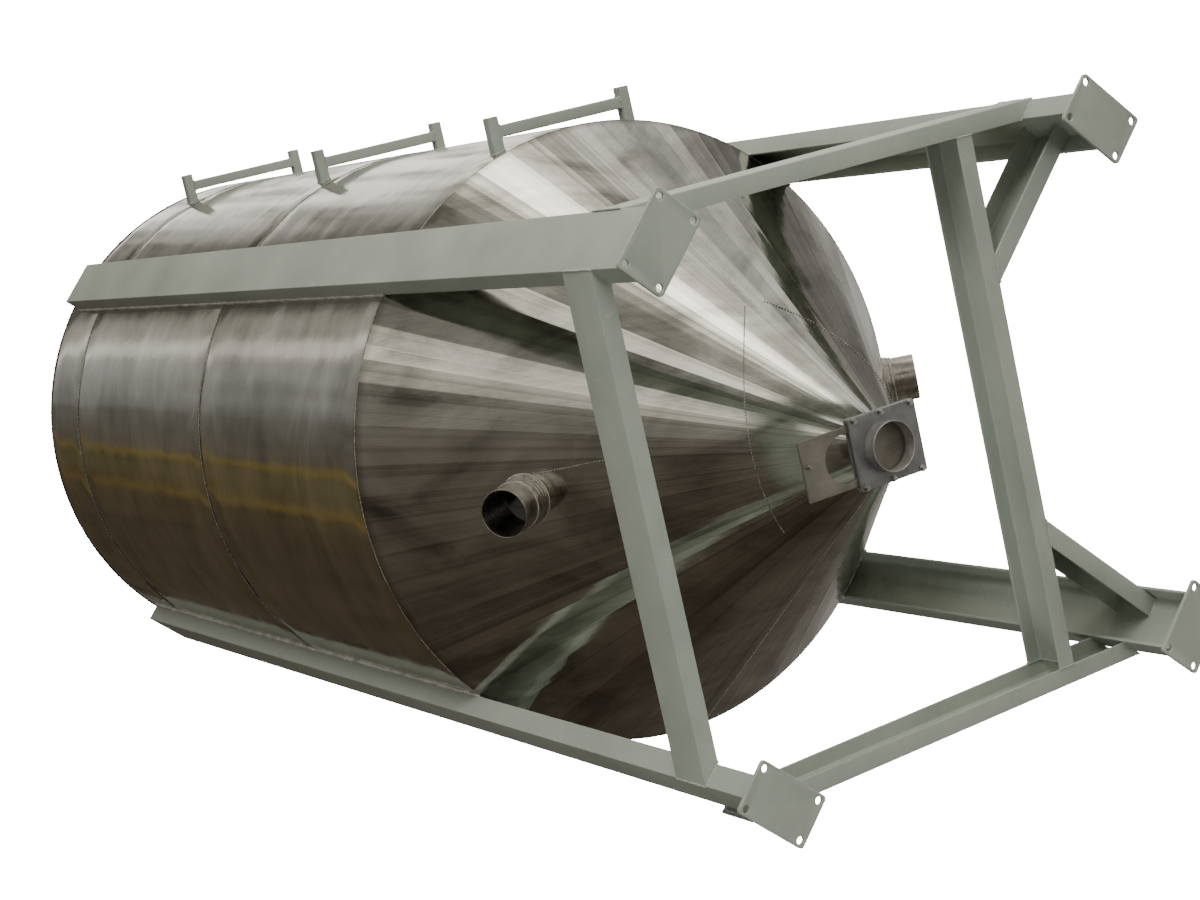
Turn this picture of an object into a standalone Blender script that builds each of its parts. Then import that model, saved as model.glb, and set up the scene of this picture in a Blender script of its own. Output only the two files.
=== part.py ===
"""A storage silo: a stainless steel shell with a cone bottom, held in a painted frame of steel channels.

Run with: blender --background --python part.py
Metres, +Z up. The silo's axis is the Z axis and the undersides of the four foot plates lie at Z = 0.
The front is the -Y side, with legs A (+X -Y) and B (-X -Y); the back legs are C (+X +Y) and D (-X +Y).
Pieces that touch on the real silo keep a gap of a few tenths of a millimetre.
"""

import math

import bmesh
import bpy
from mathutils import Matrix, Vector

# Gap between pieces that touch
GAP = 0.0003

# Round shell, measured on its outer face
SHELL_RADIUS = 1.100
SHELL_WALL = 0.003
SHELL_STEPS = 64
CONE_TOP_Z = 1.736
COURSE_SEAM_LOW_Z = 3.201
COURSE_SEAM_HIGH_Z = 4.725
SHELL_TOP_Z = 5.128

# Cone bottom and the outlet bore under it
CONE_WALL = 0.004
OUTLET_RADIUS = 0.0745

# Roof: a low cone closed by a round crown plate
ROOF_SLOPE = math.radians(15)
ROOF_WALL = 0.003
ROOF_HOLE_RADIUS = 0.230
CROWN_RADIUS = 0.260
CROWN_THICKNESS = 0.006
CROWN_LIFT = 0.010

# Legs: channels with the web outwards
LEG_DEPTH = 0.198
LEG_FLANGE = 0.073
LEG_WEB_THICKNESS = 0.007
LEG_FLANGE_THICKNESS = 0.010
LEG_WEB_DISTANCE = 1.1697
LEG_TOP_Z = 5.011

# Foot plates, flat on the floor
PLATE_THICKNESS = 0.012
PLATE_LENGTH = 0.253
PLATE_WIDTH = 0.165
PLATE_CENTRE_DISTANCE = 1.136
PLATE_CORNER_RADIUS = 0.012
PLATE_HOLE_RADIUS = 0.012
PLATE_HOLE_INSET = 0.0205
PLATE_HOLE_STEPS = 24
PLATE_CORNER_STEPS = 4

# Braces between the legs: channels with the web outwards
BRACE_DEPTH = 0.160
BRACE_FLANGE = 0.058
BRACE_WEB_THICKNESS = 0.0065
BRACE_FLANGE_THICKNESS = 0.009
BRACE_BOTTOM_Z = 0.237
FRONT_BRACE_DISTANCE = 0.898
RIGHT_BRACE_DISTANCE = 0.899
LEFT_BRACE_DISTANCE = 0.911
BACK_BRACE_Y = 0.500
KNEE_FLANGE = 0.062
KNEE_WEB_OFFSET = 0.086

# Stand-off brackets for a ladder, on the +X side
BRACKET_HEIGHTS = {"top": 4.794, "middle": 3.291, "lower": 1.7885}
BRACKET_TUBE_SIZE = 0.042
BRACKET_TUBE_WALL = 0.003
BRACKET_POST_END_X = 1.189
BRACKET_POST_Y = {"front": -0.262, "back": 0.275}
BRACKET_BAR_LOW_X = 1.114

# Nozzles: short pipes square to the cone
NOZZLE_AZIMUTHS = {"front": math.radians(-90.5), "back": math.radians(90.9)}
NOZZLE_Z = 1.246
NOZZLE_RADIUS = 0.0793
NOZZLE_WALL = 0.003
NOZZLE_OUT = {"front": 0.161, "back": 0.1025}
NOZZLE_IN = 0.020
COLLAR_FOOT_RADIUS = 0.0865
COLLAR_FOOT_LENGTH = 0.008
COLLAR_RADIUS = 0.0835
COLLAR_LENGTH = {"front": 0.072, "back": 0.022}
NOZZLE_STEPS = 40

# Slide gate: two flange plates with the blade between them
GATE_SIZE_X = 0.224
GATE_FRONT_Y = -0.120
GATE_BACK_Y = 0.135
GATE_PLATE_THICKNESS = 0.008
GATE_BOTTOM_Z = 0.2953
GATE_SLOT = 0.0089
PACKER_WIDTH = 0.013
BLADE_THICKNESS = 0.006
BLADE_WIDTH = 0.188
BLADE_FRONT_Y = -0.305
BLADE_BACK_Y = 0.105
BLADE_HOLE_Y = -0.147
BLADE_PIN_X = 0.012
BLADE_PIN_Y = -0.283
PIN_RADIUS = 0.006
PIN_LENGTH = 0.014
PIN_STEPS = 16
SPOUT_RADIUS = 0.0765
SPOUT_BOTTOM_Z = 0.253
SPOUT_RIM_RADIUS = 0.0785
SPOUT_RIM_LENGTH = 0.006
BORE_STEPS = 40

# Larger than any piece, for cutters, and how far a cutter runs past the piece it cuts
FAR = 3.0
PAST = 0.05

LEG_AZIMUTHS = {
    "a": math.radians(-45),
    "b": math.radians(-135),
    "c": math.radians(45),
    "d": math.radians(135),
}

# The cone stands on the gate's upper flange, and widens by CONE_SPREAD for each unit of height
CONE_FOOT_Z = GATE_BOTTOM_Z + 2 * GATE_PLATE_THICKNESS + GATE_SLOT + GAP
CONE_SPREAD = (SHELL_RADIUS - OUTLET_RADIUS - CONE_WALL) / (CONE_TOP_Z - CONE_FOOT_Z)


def clear_scene():
    for obj in list(bpy.data.objects):
        bpy.data.objects.remove(obj, do_unlink=True)


def make_collection(name):
    collection = bpy.data.collections.new(name)
    bpy.context.scene.collection.children.link(collection)
    return collection


def make_material(name, colour, roughness, metallic):
    material = bpy.data.materials.new(name)
    material.use_nodes = True
    shader = material.node_tree.nodes["Principled BSDF"]
    shader.inputs["Base Color"].default_value = (*colour, 1.0)
    shader.inputs["Roughness"].default_value = roughness
    shader.inputs["Metallic"].default_value = metallic
    return material


clear_scene()
PARTS = make_collection("storage_silo")
CUTTERS = make_collection("cutters")
STAINLESS = make_material("brushed_stainless", (0.42, 0.40, 0.37), 0.32, 1.0)
PAINT = make_material("grey_green_paint", (0.42, 0.46, 0.41), 0.45, 0.0)
PLATE_STEEL = make_material("dull_steel_plate", (0.28, 0.29, 0.29), 0.50, 1.0)
PIN_STEEL = make_material("bright_steel", (0.60, 0.60, 0.58), 0.30, 1.0)


def add_object(name, mesh, material, collection=None):
    obj = bpy.data.objects.new(name, mesh)
    (collection or PARTS).objects.link(obj)
    if material:
        mesh.materials.append(material)
    return obj


def mesh_from(name, build):
    """A mesh named name, filled by build(bm)."""
    bm = bmesh.new()
    build(bm)
    mesh = bpy.data.meshes.new(name)
    bm.to_mesh(mesh)
    bm.free()
    return mesh


def add_box_to(bm, low, high):
    """Adds a box between two corners to bm and gives its vertices."""
    low, high = Vector(low), Vector(high)
    size = high - low
    verts = bmesh.ops.create_cube(bm, size=1.0)["verts"]
    bmesh.ops.scale(bm, vec=size, verts=verts)
    bmesh.ops.translate(bm, vec=(low + high) / 2, verts=verts)
    return verts


def add_rod_to(bm, radius, low_z, high_z, steps, x=0.0, y=0.0):
    """Adds an upright cylinder to bm."""
    verts = bmesh.ops.create_cone(
        bm, cap_ends=True, segments=steps, radius1=radius, radius2=radius, depth=high_z - low_z
    )["verts"]
    bmesh.ops.translate(bm, vec=(x, y, (low_z + high_z) / 2), verts=verts)


def box_mesh(name, low, high):
    return mesh_from(name, lambda bm: add_box_to(bm, low, high))


def make_cutter(name, mesh, matrix=None):
    cutter = add_object(name, mesh, None, CUTTERS)
    cutter.hide_render = True
    cutter.display_type = "WIRE"
    if matrix is not None:
        cutter.matrix_world = matrix
    return cutter


def cut(obj, cutter, operation="DIFFERENCE"):
    modifier = obj.modifiers.new(cutter.name, "BOOLEAN")
    modifier.operation = operation
    modifier.object = cutter
    modifier.solver = "EXACT"


def shade_round(obj):
    obj.data.shade_smooth()
    obj.data.set_sharp_from_angle(angle=math.radians(30))


def frame_matrix(origin, out, along):
    """A placing matrix whose X axis is out and whose Z axis is along."""
    out, along = Vector(out).normalized(), Vector(along).normalized()
    side = along.cross(out)
    turn = Matrix((out, side, along)).transposed().to_4x4()
    return Matrix.Translation(Vector(origin)) @ turn


def azimuth_vector(angle):
    return Vector((math.cos(angle), math.sin(angle), 0.0))


def turned(name, profile, steps, material, collection=None):
    """A solid turned about Z from a closed profile of (radius, z) points, the outer side first, downwards."""
    mesh = bpy.data.meshes.new(name)
    count = len(profile)
    edges = [(i, (i + 1) % count) for i in range(count)]
    mesh.from_pydata([(r, 0.0, z) for r, z in profile], edges, [])
    obj = add_object(name, mesh, material, collection)
    screw = obj.modifiers.new("turn", "SCREW")
    screw.axis = "Z"
    screw.angle = math.tau
    screw.steps = steps
    screw.render_steps = steps
    screw.use_merge_vertices = True
    screw.merge_threshold = 0.0001
    screw.use_smooth_shade = True
    return obj


def channel(name, material, place, depth, flange, web, lip, start, end, start_slope=0.0, end_slope=0.0):
    """A steel channel along its own Z, with the web's outer face at its own X = 0 and the flanges towards -X.

    Its ends lie at start and end on the web's outer face. A slope moves an end by slope times X,
    so that the end is mitred.
    """

    def build(bm):
        verts = add_box_to(bm, (-flange, -depth / 2, start), (0.0, depth / 2, end))
        middle = (start + end) / 2
        for vert in verts:
            slope = end_slope if vert.co.z > middle else start_slope
            vert.co.z += slope * vert.co.x

    obj = add_object(name, mesh_from(name, build), material)
    obj.matrix_world = place
    hollow = box_mesh(
        name + "_hollow",
        (-flange - PAST, -depth / 2 + lip, start - PAST),
        (-web, depth / 2 - lip, end + PAST),
    )
    cut(obj, make_cutter(name + "_hollow", hollow, place))
    return obj


def make_half_spaces():
    """Two big boxes, one for the front half and one for the back half of a round piece."""
    front = box_mesh("front_space", (-FAR, -FAR, -FAR), (FAR, -GAP / 2, 3 * FAR))
    back = box_mesh("back_space", (-FAR, GAP / 2, -FAR), (FAR, FAR, 3 * FAR))
    return {"front": make_cutter("front_space", front), "back": make_cutter("back_space", back)}


HALVES = make_half_spaces()


def make_shell_courses():
    """Three courses of rolled sheet, each of two half rings."""
    heights = {
        "lower": (CONE_TOP_Z, COURSE_SEAM_LOW_Z),
        "middle": (COURSE_SEAM_LOW_Z, COURSE_SEAM_HIGH_Z),
        "top": (COURSE_SEAM_HIGH_Z, SHELL_TOP_Z),
    }
    inner = SHELL_RADIUS - SHELL_WALL
    for course, (low, high) in heights.items():
        for half, space in HALVES.items():
            profile = [
                (SHELL_RADIUS, high - GAP / 2),
                (SHELL_RADIUS, low + GAP / 2),
                (inner, low + GAP / 2),
                (inner, high - GAP / 2),
            ]
            sheet = turned(f"shell_{course}_{half}", profile, SHELL_STEPS, STAINLESS)
            cut(sheet, space, "INTERSECT")


def nozzle_matrix(azimuth):
    """The nozzle's frame: its Z points out, square to the cone, from the cone's outer face."""
    outwards = azimuth_vector(azimuth)
    radius = OUTLET_RADIUS + CONE_WALL + CONE_SPREAD * (NOZZLE_Z - CONE_FOOT_Z)
    along = outwards - Vector((0.0, 0.0, CONE_SPREAD))
    sideways = outwards.cross(Vector((0.0, 0.0, 1.0)))
    return frame_matrix(outwards * radius + Vector((0.0, 0.0, NOZZLE_Z)), sideways, along)


def make_cone():
    """The cone bottom: two rolled half sheets, each with a hole for its nozzle."""
    wall = CONE_WALL * math.sqrt(1 + CONE_SPREAD**2)
    foot = OUTLET_RADIUS + CONE_WALL
    profile = [
        (SHELL_RADIUS, CONE_TOP_Z - GAP / 2),
        (foot, CONE_FOOT_Z),
        (foot - wall, CONE_FOOT_Z),
        (SHELL_RADIUS - wall, CONE_TOP_Z - GAP / 2),
    ]
    for half, space in HALVES.items():
        sheet = turned(f"cone_{half}", profile, SHELL_STEPS, STAINLESS)
        cut(sheet, space, "INTERSECT")
        hole = mesh_from(
            "nozzle_hole",
            lambda bm: add_rod_to(bm, NOZZLE_RADIUS + GAP, -2 * PAST, 2 * PAST, NOZZLE_STEPS),
        )
        cut(sheet, make_cutter(f"nozzle_hole_{half}", hole, nozzle_matrix(NOZZLE_AZIMUTHS[half])))


def cone_body():
    """The whole cone as a solid, a little larger, to shape the foot of each nozzle collar."""
    profile = [
        (SHELL_RADIUS + GAP, CONE_TOP_Z),
        (OUTLET_RADIUS + CONE_WALL + GAP, CONE_FOOT_Z),
        (0.0, CONE_FOOT_Z),
        (0.0, CONE_TOP_Z),
    ]
    body = turned("cone_body", profile, SHELL_STEPS, None, CUTTERS)
    body.hide_render = True
    body.display_type = "WIRE"
    return body


def make_nozzles():
    """Two short pipes, each in a thin collar with a wider foot that is welded to the cone."""
    body = cone_body()
    bore = NOZZLE_RADIUS - NOZZLE_WALL
    inside = NOZZLE_RADIUS + GAP
    for half, azimuth in NOZZLE_AZIMUTHS.items():
        place = nozzle_matrix(azimuth)
        pipe_profile = [
            (NOZZLE_RADIUS, NOZZLE_OUT[half]),
            (NOZZLE_RADIUS, -NOZZLE_IN),
            (bore, -NOZZLE_IN),
            (bore, NOZZLE_OUT[half]),
        ]
        pipe = turned(f"nozzle_{half}_pipe", pipe_profile, NOZZLE_STEPS, STAINLESS)
        pipe.matrix_world = place
        collar_profile = [
            (COLLAR_RADIUS, COLLAR_LENGTH[half]),
            (COLLAR_RADIUS, COLLAR_FOOT_LENGTH),
            (COLLAR_FOOT_RADIUS, COLLAR_FOOT_LENGTH),
            (COLLAR_FOOT_RADIUS, -PAST),
            (inside, -PAST),
            (inside, COLLAR_LENGTH[half]),
        ]
        collar = turned(f"nozzle_{half}_collar", collar_profile, NOZZLE_STEPS, STAINLESS)
        collar.matrix_world = place
        cut(collar, body)


def make_roof():
    """A low cone roof on the shell's rim, closed by a flat crown plate."""
    rise = math.tan(ROOF_SLOPE)
    low = SHELL_TOP_Z + GAP
    hole_z = low + (SHELL_RADIUS - ROOF_HOLE_RADIUS) * rise
    wall = ROOF_WALL / math.cos(ROOF_SLOPE)
    profile = [
        (ROOF_HOLE_RADIUS, hole_z + wall),
        (SHELL_RADIUS, low + wall),
        (SHELL_RADIUS, low),
        (ROOF_HOLE_RADIUS, hole_z),
    ]
    turned("roof_cone", profile, SHELL_STEPS, STAINLESS)
    top = hole_z + wall + CROWN_LIFT
    skirt = ROOF_HOLE_RADIUS - 2 * GAP
    crown_profile = [
        (0.0, top + CROWN_THICKNESS),
        (CROWN_RADIUS, top + CROWN_THICKNESS),
        (CROWN_RADIUS, top),
        (skirt, top),
        (skirt, hole_z),
        (skirt - CROWN_THICKNESS, hole_z),
        (skirt - CROWN_THICKNESS, top),
        (0.0, top),
    ]
    turned("roof_crown", crown_profile, BORE_STEPS, STAINLESS)


def make_legs():
    for leg, azimuth in LEG_AZIMUTHS.items():
        outwards = azimuth_vector(azimuth)
        place = frame_matrix(outwards * LEG_WEB_DISTANCE, outwards, (0.0, 0.0, 1.0))
        channel(
            f"leg_{leg}", PAINT, place, LEG_DEPTH, LEG_FLANGE, LEG_WEB_THICKNESS, LEG_FLANGE_THICKNESS,
            PLATE_THICKNESS + GAP, LEG_TOP_Z,
        )


def make_foot_plates():
    """Flat plates with rounded corners and four bolt holes."""
    half_w, half_l = PLATE_WIDTH / 2, PLATE_LENGTH / 2

    def build_plate(bm):
        add_box_to(bm, (-half_w, -half_l, 0.0), (half_w, half_l, PLATE_THICKNESS))
        upright = [e for e in bm.edges if abs(e.verts[0].co.z - e.verts[1].co.z) > PLATE_THICKNESS / 2]
        bmesh.ops.bevel(
            bm, geom=upright, offset=PLATE_CORNER_RADIUS, offset_type="OFFSET",
            segments=PLATE_CORNER_STEPS, profile=0.5, affect="EDGES",
        )

    def build_holes(bm):
        for side in (-1, 1):
            for end in (-1, 1):
                add_rod_to(
                    bm, PLATE_HOLE_RADIUS, -PLATE_THICKNESS, 2 * PLATE_THICKNESS, PLATE_HOLE_STEPS,
                    side * (half_w - PLATE_HOLE_INSET), end * (half_l - PLATE_HOLE_INSET),
                )

    for leg, azimuth in LEG_AZIMUTHS.items():
        outwards = azimuth_vector(azimuth)
        place = frame_matrix(outwards * PLATE_CENTRE_DISTANCE, outwards, (0.0, 0.0, 1.0))
        plate = add_object(f"foot_plate_{leg}", mesh_from("foot_plate", build_plate), PAINT)
        plate.matrix_world = place
        cut(plate, make_cutter(f"plate_holes_{leg}", mesh_from("plate_holes", build_holes), place))


def make_outer_braces():
    """Three braces that join neighbouring legs near their feet, mitred against the legs' flanges."""
    middle_z = BRACE_BOTTOM_Z + BRACE_DEPTH / 2
    reach = LEG_DEPTH / 2 * math.sqrt(2)
    braces = (
        ("front", -90, FRONT_BRACE_DISTANCE),
        ("right", 0, RIGHT_BRACE_DISTANCE),
        ("left", 180, LEFT_BRACE_DISTANCE),
    )
    for name, angle, distance in braces:
        half_length = distance - reach - GAP * math.sqrt(2)
        outwards = azimuth_vector(math.radians(angle))
        along = Vector((0.0, 0.0, 1.0)).cross(outwards)
        origin = outwards * distance + Vector((0.0, 0.0, middle_z))
        channel(
            f"brace_{name}", PAINT, frame_matrix(origin, outwards, along), BRACE_DEPTH, BRACE_FLANGE,
            BRACE_WEB_THICKNESS, BRACE_FLANGE_THICKNESS, -half_length, half_length, -1.0, 1.0,
        )


def make_back_brace():
    """The back brace stands in from the back legs, between the left and right braces."""
    middle_z = BRACE_BOTTOM_Z + BRACE_DEPTH / 2
    left_end = -(LEFT_BRACE_DISTANCE - BRACE_FLANGE - GAP)
    right_end = RIGHT_BRACE_DISTANCE - BRACE_FLANGE - GAP
    place = frame_matrix((0.0, BACK_BRACE_Y, middle_z), (0.0, 1.0, 0.0), (1.0, 0.0, 0.0))
    channel(
        "brace_back", PAINT, place, BRACE_DEPTH, BRACE_FLANGE, BRACE_WEB_THICKNESS,
        BRACE_FLANGE_THICKNESS, left_end, right_end,
    )


def make_knees():
    """Two short channels that run from the back brace out to the webs of legs C and D."""
    middle_z = BRACE_BOTTOM_Z + BRACE_DEPTH / 2
    start = (BACK_BRACE_Y + GAP) * math.sqrt(2) - KNEE_WEB_OFFSET
    end = LEG_WEB_DISTANCE - LEG_WEB_THICKNESS - GAP
    for leg in ("c", "d"):
        along = azimuth_vector(LEG_AZIMUTHS[leg])
        outwards = Vector((-along.y, along.x, 0.0)) * (1 if leg == "c" else -1)
        origin = outwards * KNEE_WEB_OFFSET + Vector((0.0, 0.0, middle_z))
        channel(
            f"knee_{leg}", PAINT, frame_matrix(origin, outwards, along), BRACE_DEPTH, KNEE_FLANGE,
            BRACE_WEB_THICKNESS, BRACE_FLANGE_THICKNESS, start, end, -1.0, 0.0,
        )


def make_brackets():
    """Three stand-off brackets of square tube: two posts on the shell, joined by a bar."""
    half = BRACKET_TUBE_SIZE / 2
    wall = BRACKET_TUBE_WALL
    shell_space = mesh_from(
        "shell_space",
        lambda bm: add_rod_to(bm, SHELL_RADIUS + GAP, CONE_TOP_Z - PAST, SHELL_TOP_Z + PAST, SHELL_STEPS),
    )
    shell_cutter = make_cutter("shell_space", shell_space)
    root_x = SHELL_RADIUS - 2 * PAST
    bar_high_x = BRACKET_BAR_LOW_X + BRACKET_TUBE_SIZE
    bar_low_y = BRACKET_POST_Y["front"] + half + GAP
    bar_high_y = BRACKET_POST_Y["back"] - half - GAP
    for level, low_z in BRACKET_HEIGHTS.items():
        high_z = low_z + BRACKET_TUBE_SIZE
        for side, y in BRACKET_POST_Y.items():
            name = f"bracket_{level}_post_{side}"
            outer = box_mesh(name, (root_x, y - half, low_z), (BRACKET_POST_END_X, y + half, high_z))
            post = add_object(name, outer, PAINT)
            hollow = box_mesh(
                name + "_hollow",
                (root_x - PAST, y - half + wall, low_z + wall),
                (BRACKET_POST_END_X - wall, y + half - wall, high_z - wall),
            )
            cut(post, make_cutter(name + "_hollow", hollow))
            cut(post, shell_cutter)
        name = f"bracket_{level}_bar"
        bar = box_mesh(name, (BRACKET_BAR_LOW_X, bar_low_y, low_z), (bar_high_x, bar_high_y, high_z))
        hollow = box_mesh(
            name + "_hollow",
            (BRACKET_BAR_LOW_X + wall, bar_low_y - PAST, low_z + wall),
            (bar_high_x - wall, bar_high_y + PAST, high_z - wall),
        )
        cut(add_object(name, bar, PAINT), make_cutter(name + "_hollow", hollow))


def make_gate_body():
    """Two flange plates held apart by two packers, with the bore through them."""
    half_x = GATE_SIZE_X / 2
    low_z, high_z = GATE_BOTTOM_Z - PAST, CONE_FOOT_Z + PAST
    bore = mesh_from("gate_bore", lambda bm: add_rod_to(bm, OUTLET_RADIUS, low_z, high_z, BORE_STEPS))
    bore_cutter = make_cutter("gate_bore", bore)
    lower_top = GATE_BOTTOM_Z + GATE_PLATE_THICKNESS
    upper_low = lower_top + GATE_SLOT
    plates = {
        "gate_lower_flange": (GATE_BOTTOM_Z, lower_top),
        "gate_upper_flange": (upper_low, upper_low + GATE_PLATE_THICKNESS),
    }
    for name, (low_z, high_z) in plates.items():
        low, high = (-half_x, GATE_FRONT_Y, low_z), (half_x, GATE_BACK_Y, high_z)
        plate = add_object(name, box_mesh(name, low, high), PLATE_STEEL)
        cut(plate, bore_cutter)
    for side, sign in (("left", -1), ("right", 1)):
        xs = sorted((sign * half_x, sign * (half_x - PACKER_WIDTH)))
        name = f"gate_packer_{side}"
        low = (xs[0], GATE_FRONT_Y, lower_top + GAP)
        add_object(name, box_mesh(name, low, (xs[1], GATE_BACK_Y, upper_low - GAP)), PLATE_STEEL)


def make_spout():
    """The short outlet pipe under the gate, with a raised rim at its mouth."""
    top = GATE_BOTTOM_Z - GAP
    rim_top = SPOUT_BOTTOM_Z + SPOUT_RIM_LENGTH
    profile = [
        (SPOUT_RADIUS, top),
        (SPOUT_RADIUS, rim_top),
        (SPOUT_RIM_RADIUS, rim_top),
        (SPOUT_RIM_RADIUS, SPOUT_BOTTOM_Z),
        (OUTLET_RADIUS, SPOUT_BOTTOM_Z),
        (OUTLET_RADIUS, top),
    ]
    turned("outlet_spout", profile, BORE_STEPS, PLATE_STEEL)


def make_blade():
    """The sliding blade: pushed towards +Y until its pin nears the gate, its hole lies over the bore."""
    slot_low = GATE_BOTTOM_Z + GATE_PLATE_THICKNESS
    low_z = slot_low + (GATE_SLOT - BLADE_THICKNESS) / 2
    slide = bpy.data.objects.new("blade_slide", None)
    PARTS.objects.link(slide)
    slide.location = (0.0, 0.0, low_z)
    low = (-BLADE_WIDTH / 2, BLADE_FRONT_Y, 0.0)
    high = (BLADE_WIDTH / 2, BLADE_BACK_Y, BLADE_THICKNESS)
    blade = add_object("gate_blade", box_mesh("gate_blade", low, high), PLATE_STEEL)
    blade.parent = slide
    hole = mesh_from(
        "blade_hole",
        lambda bm: add_rod_to(bm, OUTLET_RADIUS, -PAST, PAST, BORE_STEPS, y=BLADE_HOLE_Y),
    )
    cutter = make_cutter("blade_hole", hole)
    cutter.parent = slide
    cut(blade, cutter)
    pin_mesh = mesh_from(
        "blade_pin",
        lambda bm: add_rod_to(bm, PIN_RADIUS, -PIN_LENGTH - GAP, -GAP, PIN_STEPS, BLADE_PIN_X, BLADE_PIN_Y),
    )
    pin = add_object("blade_pin", pin_mesh, PIN_STEEL)
    pin.parent = slide
    shade_round(pin)


make_shell_courses()
make_cone()
make_nozzles()
make_roof()
make_legs()
make_foot_plates()
make_outer_braces()
make_back_brace()
make_knees()
make_brackets()
make_gate_body()
make_spout()
make_blade()
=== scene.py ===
import math

import bmesh
import bpy
from mathutils import Matrix, Vector


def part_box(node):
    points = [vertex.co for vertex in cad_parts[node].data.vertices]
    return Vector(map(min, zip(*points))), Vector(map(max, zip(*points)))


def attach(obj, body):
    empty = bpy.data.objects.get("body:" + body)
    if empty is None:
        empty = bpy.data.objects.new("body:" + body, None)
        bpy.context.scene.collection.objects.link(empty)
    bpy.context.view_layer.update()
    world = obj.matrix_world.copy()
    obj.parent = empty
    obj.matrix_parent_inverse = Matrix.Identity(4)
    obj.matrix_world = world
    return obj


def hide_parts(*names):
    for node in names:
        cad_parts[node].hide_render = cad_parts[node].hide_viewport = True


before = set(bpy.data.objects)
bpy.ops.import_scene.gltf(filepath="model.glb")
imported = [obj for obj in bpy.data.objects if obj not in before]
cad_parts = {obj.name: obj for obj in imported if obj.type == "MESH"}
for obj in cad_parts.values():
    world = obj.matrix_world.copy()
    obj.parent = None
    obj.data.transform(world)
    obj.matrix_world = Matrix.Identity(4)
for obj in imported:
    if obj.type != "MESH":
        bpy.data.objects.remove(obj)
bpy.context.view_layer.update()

# Sheet metal. The sheets seen are rolled a little under the CAD radius, so that the beads stay inside it
SHELL_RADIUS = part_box("shell_lower_front")[1].x
SHEET_INSET = 0.0015
SHEET_WALL = 0.003
CONE_TOP_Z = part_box("cone_front")[1].z
SEAM_HEIGHTS = [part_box(f"shell_{course}_front")[0].z for course in ("lower", "middle", "top")]
SHELL_TOP_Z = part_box("shell_top_front")[1].z
CONE_FOOT_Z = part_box("cone_front")[0].z
CONE_FOOT_RADIUS = 0.0785
CONE_SPREAD = (SHELL_RADIUS - CONE_FOOT_RADIUS) / (CONE_TOP_Z - CONE_FOOT_Z)
CONE_HALF_ANGLE = math.atan(CONE_SPREAD)
ROOF_FOOT_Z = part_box("roof_cone")[0].z
ROOF_HOLE_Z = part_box("roof_cone")[1].z
ROOF_HOLE_RADIUS = 0.230
CROWN_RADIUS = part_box("roof_crown")[1].x
CROWN_THICKNESS = 0.006
BRAKE_BENDS = 104

# A weld crosses each half cone, straight in the flat sheet. It comes nearest to the axis at its middle.
# The squeeze, near the cone's sine, makes a turn round the cone one in the flat sheet. A short bead higher
# up runs through (radius, turn) points of its own. Turns are in degrees from +X
PATCH_RADIUS = 0.28
PATCH_MIDDLE = 95
PATCH_START, PATCH_END = 140, 5
PATCH_SQUEEZE = 0.573
PATCH_STEPS = 60
PATCH_TAIL = ((0.704, -83.98), (0.620, -82.4), (0.540, -80.64))

# Painted channels
LEG_AZIMUTHS = {"a": -45, "b": -135, "c": 45, "d": 135}
LEG_DEPTH = 0.198
LEG_FLANGE = 0.073
LEG_WEB = 0.007
LEG_LIP = 0.010
LEG_WEB_DISTANCE = 1.1697
LEG_FOOT_Z, LEG_TOP_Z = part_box("leg_a")[0].z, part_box("leg_a")[1].z
BRACE_DEPTH = 0.160
BRACE_FLANGE = 0.058
BRACE_WEB = 0.0065
BRACE_LIP = 0.009
BRACE_MIDDLE_Z = (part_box("brace_front")[0].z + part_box("brace_front")[1].z) / 2
BRACE_DISTANCES = {
    "front": (-90, -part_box("brace_front")[0].y),
    "right": (0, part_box("brace_right")[1].x),
    "left": (180, -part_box("brace_left")[0].x),
}
BACK_BRACE_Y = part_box("brace_back")[1].y
KNEE_FLANGE = 0.062
KNEE_WEB_OFFSET = 0.086
GAP = 0.0003

# Foot plates
PLATE_LENGTH = 0.253
PLATE_WIDTH = 0.165
PLATE_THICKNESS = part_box("foot_plate_a")[1].z
PLATE_DISTANCE = 1.136
PLATE_CORNER = 0.012
PLATE_HOLE = 0.012
PLATE_HOLE_INSET = 0.0205

# Ladder brackets of square tube
TUBE_SIZE = 0.042
TUBE_WALL = 0.003
TUBE_CORNER = 0.005

# Nozzles, square to the cone
NOZZLE_AZIMUTHS = {"front": -90.5, "back": 90.9}
NOZZLE_Z = 1.246
NOZZLE_RADIUS = 0.0793
NOZZLE_WALL = 0.003
NOZZLE_OUT = {"front": 0.161, "back": 0.1025}
NOZZLE_IN = 0.020
NOZZLE_STEPS = 96
COLLAR_FOOT_RADIUS = 0.0865
COLLAR_RADIUS = 0.0835
COLLAR_LENGTH = {"front": 0.072, "back": 0.022}
GROOVE_WIDTH = 0.0044
GROOVE_DEPTH = 0.0012

# Slide gate and spout
BORE_RADIUS = 0.0745
BLADE_HOLE_Y = -0.147
SPOUT_RADIUS = 0.0765
SPOUT_RIM_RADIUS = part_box("outlet_spout")[1].x
SCREW_X, SCREW_Y = 0.012, -0.283
BOLT_XS = (-0.1035, 0.1035)
BOLT_YS = (-0.099, 0.004, 0.117)

# Node kinds used often. A range's inputs in order are its value, from low, from high, to low and to high.
# A mix's are 0, its share, then 2 and 3, two numbers, or 6 and 7, two colours, and output 2 is its colour.
# A random value's are 0 and 1, two vectors, or 2 and 3, two numbers, and output 1 is its number
MATH = "ShaderNodeMath"
NOISE = "ShaderNodeTexNoise"
MIX = "ShaderNodeMix"
RAMP = "ShaderNodeValToRGB"
RANGE = "ShaderNodeMapRange"
BUMP = "ShaderNodeBump"


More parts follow.
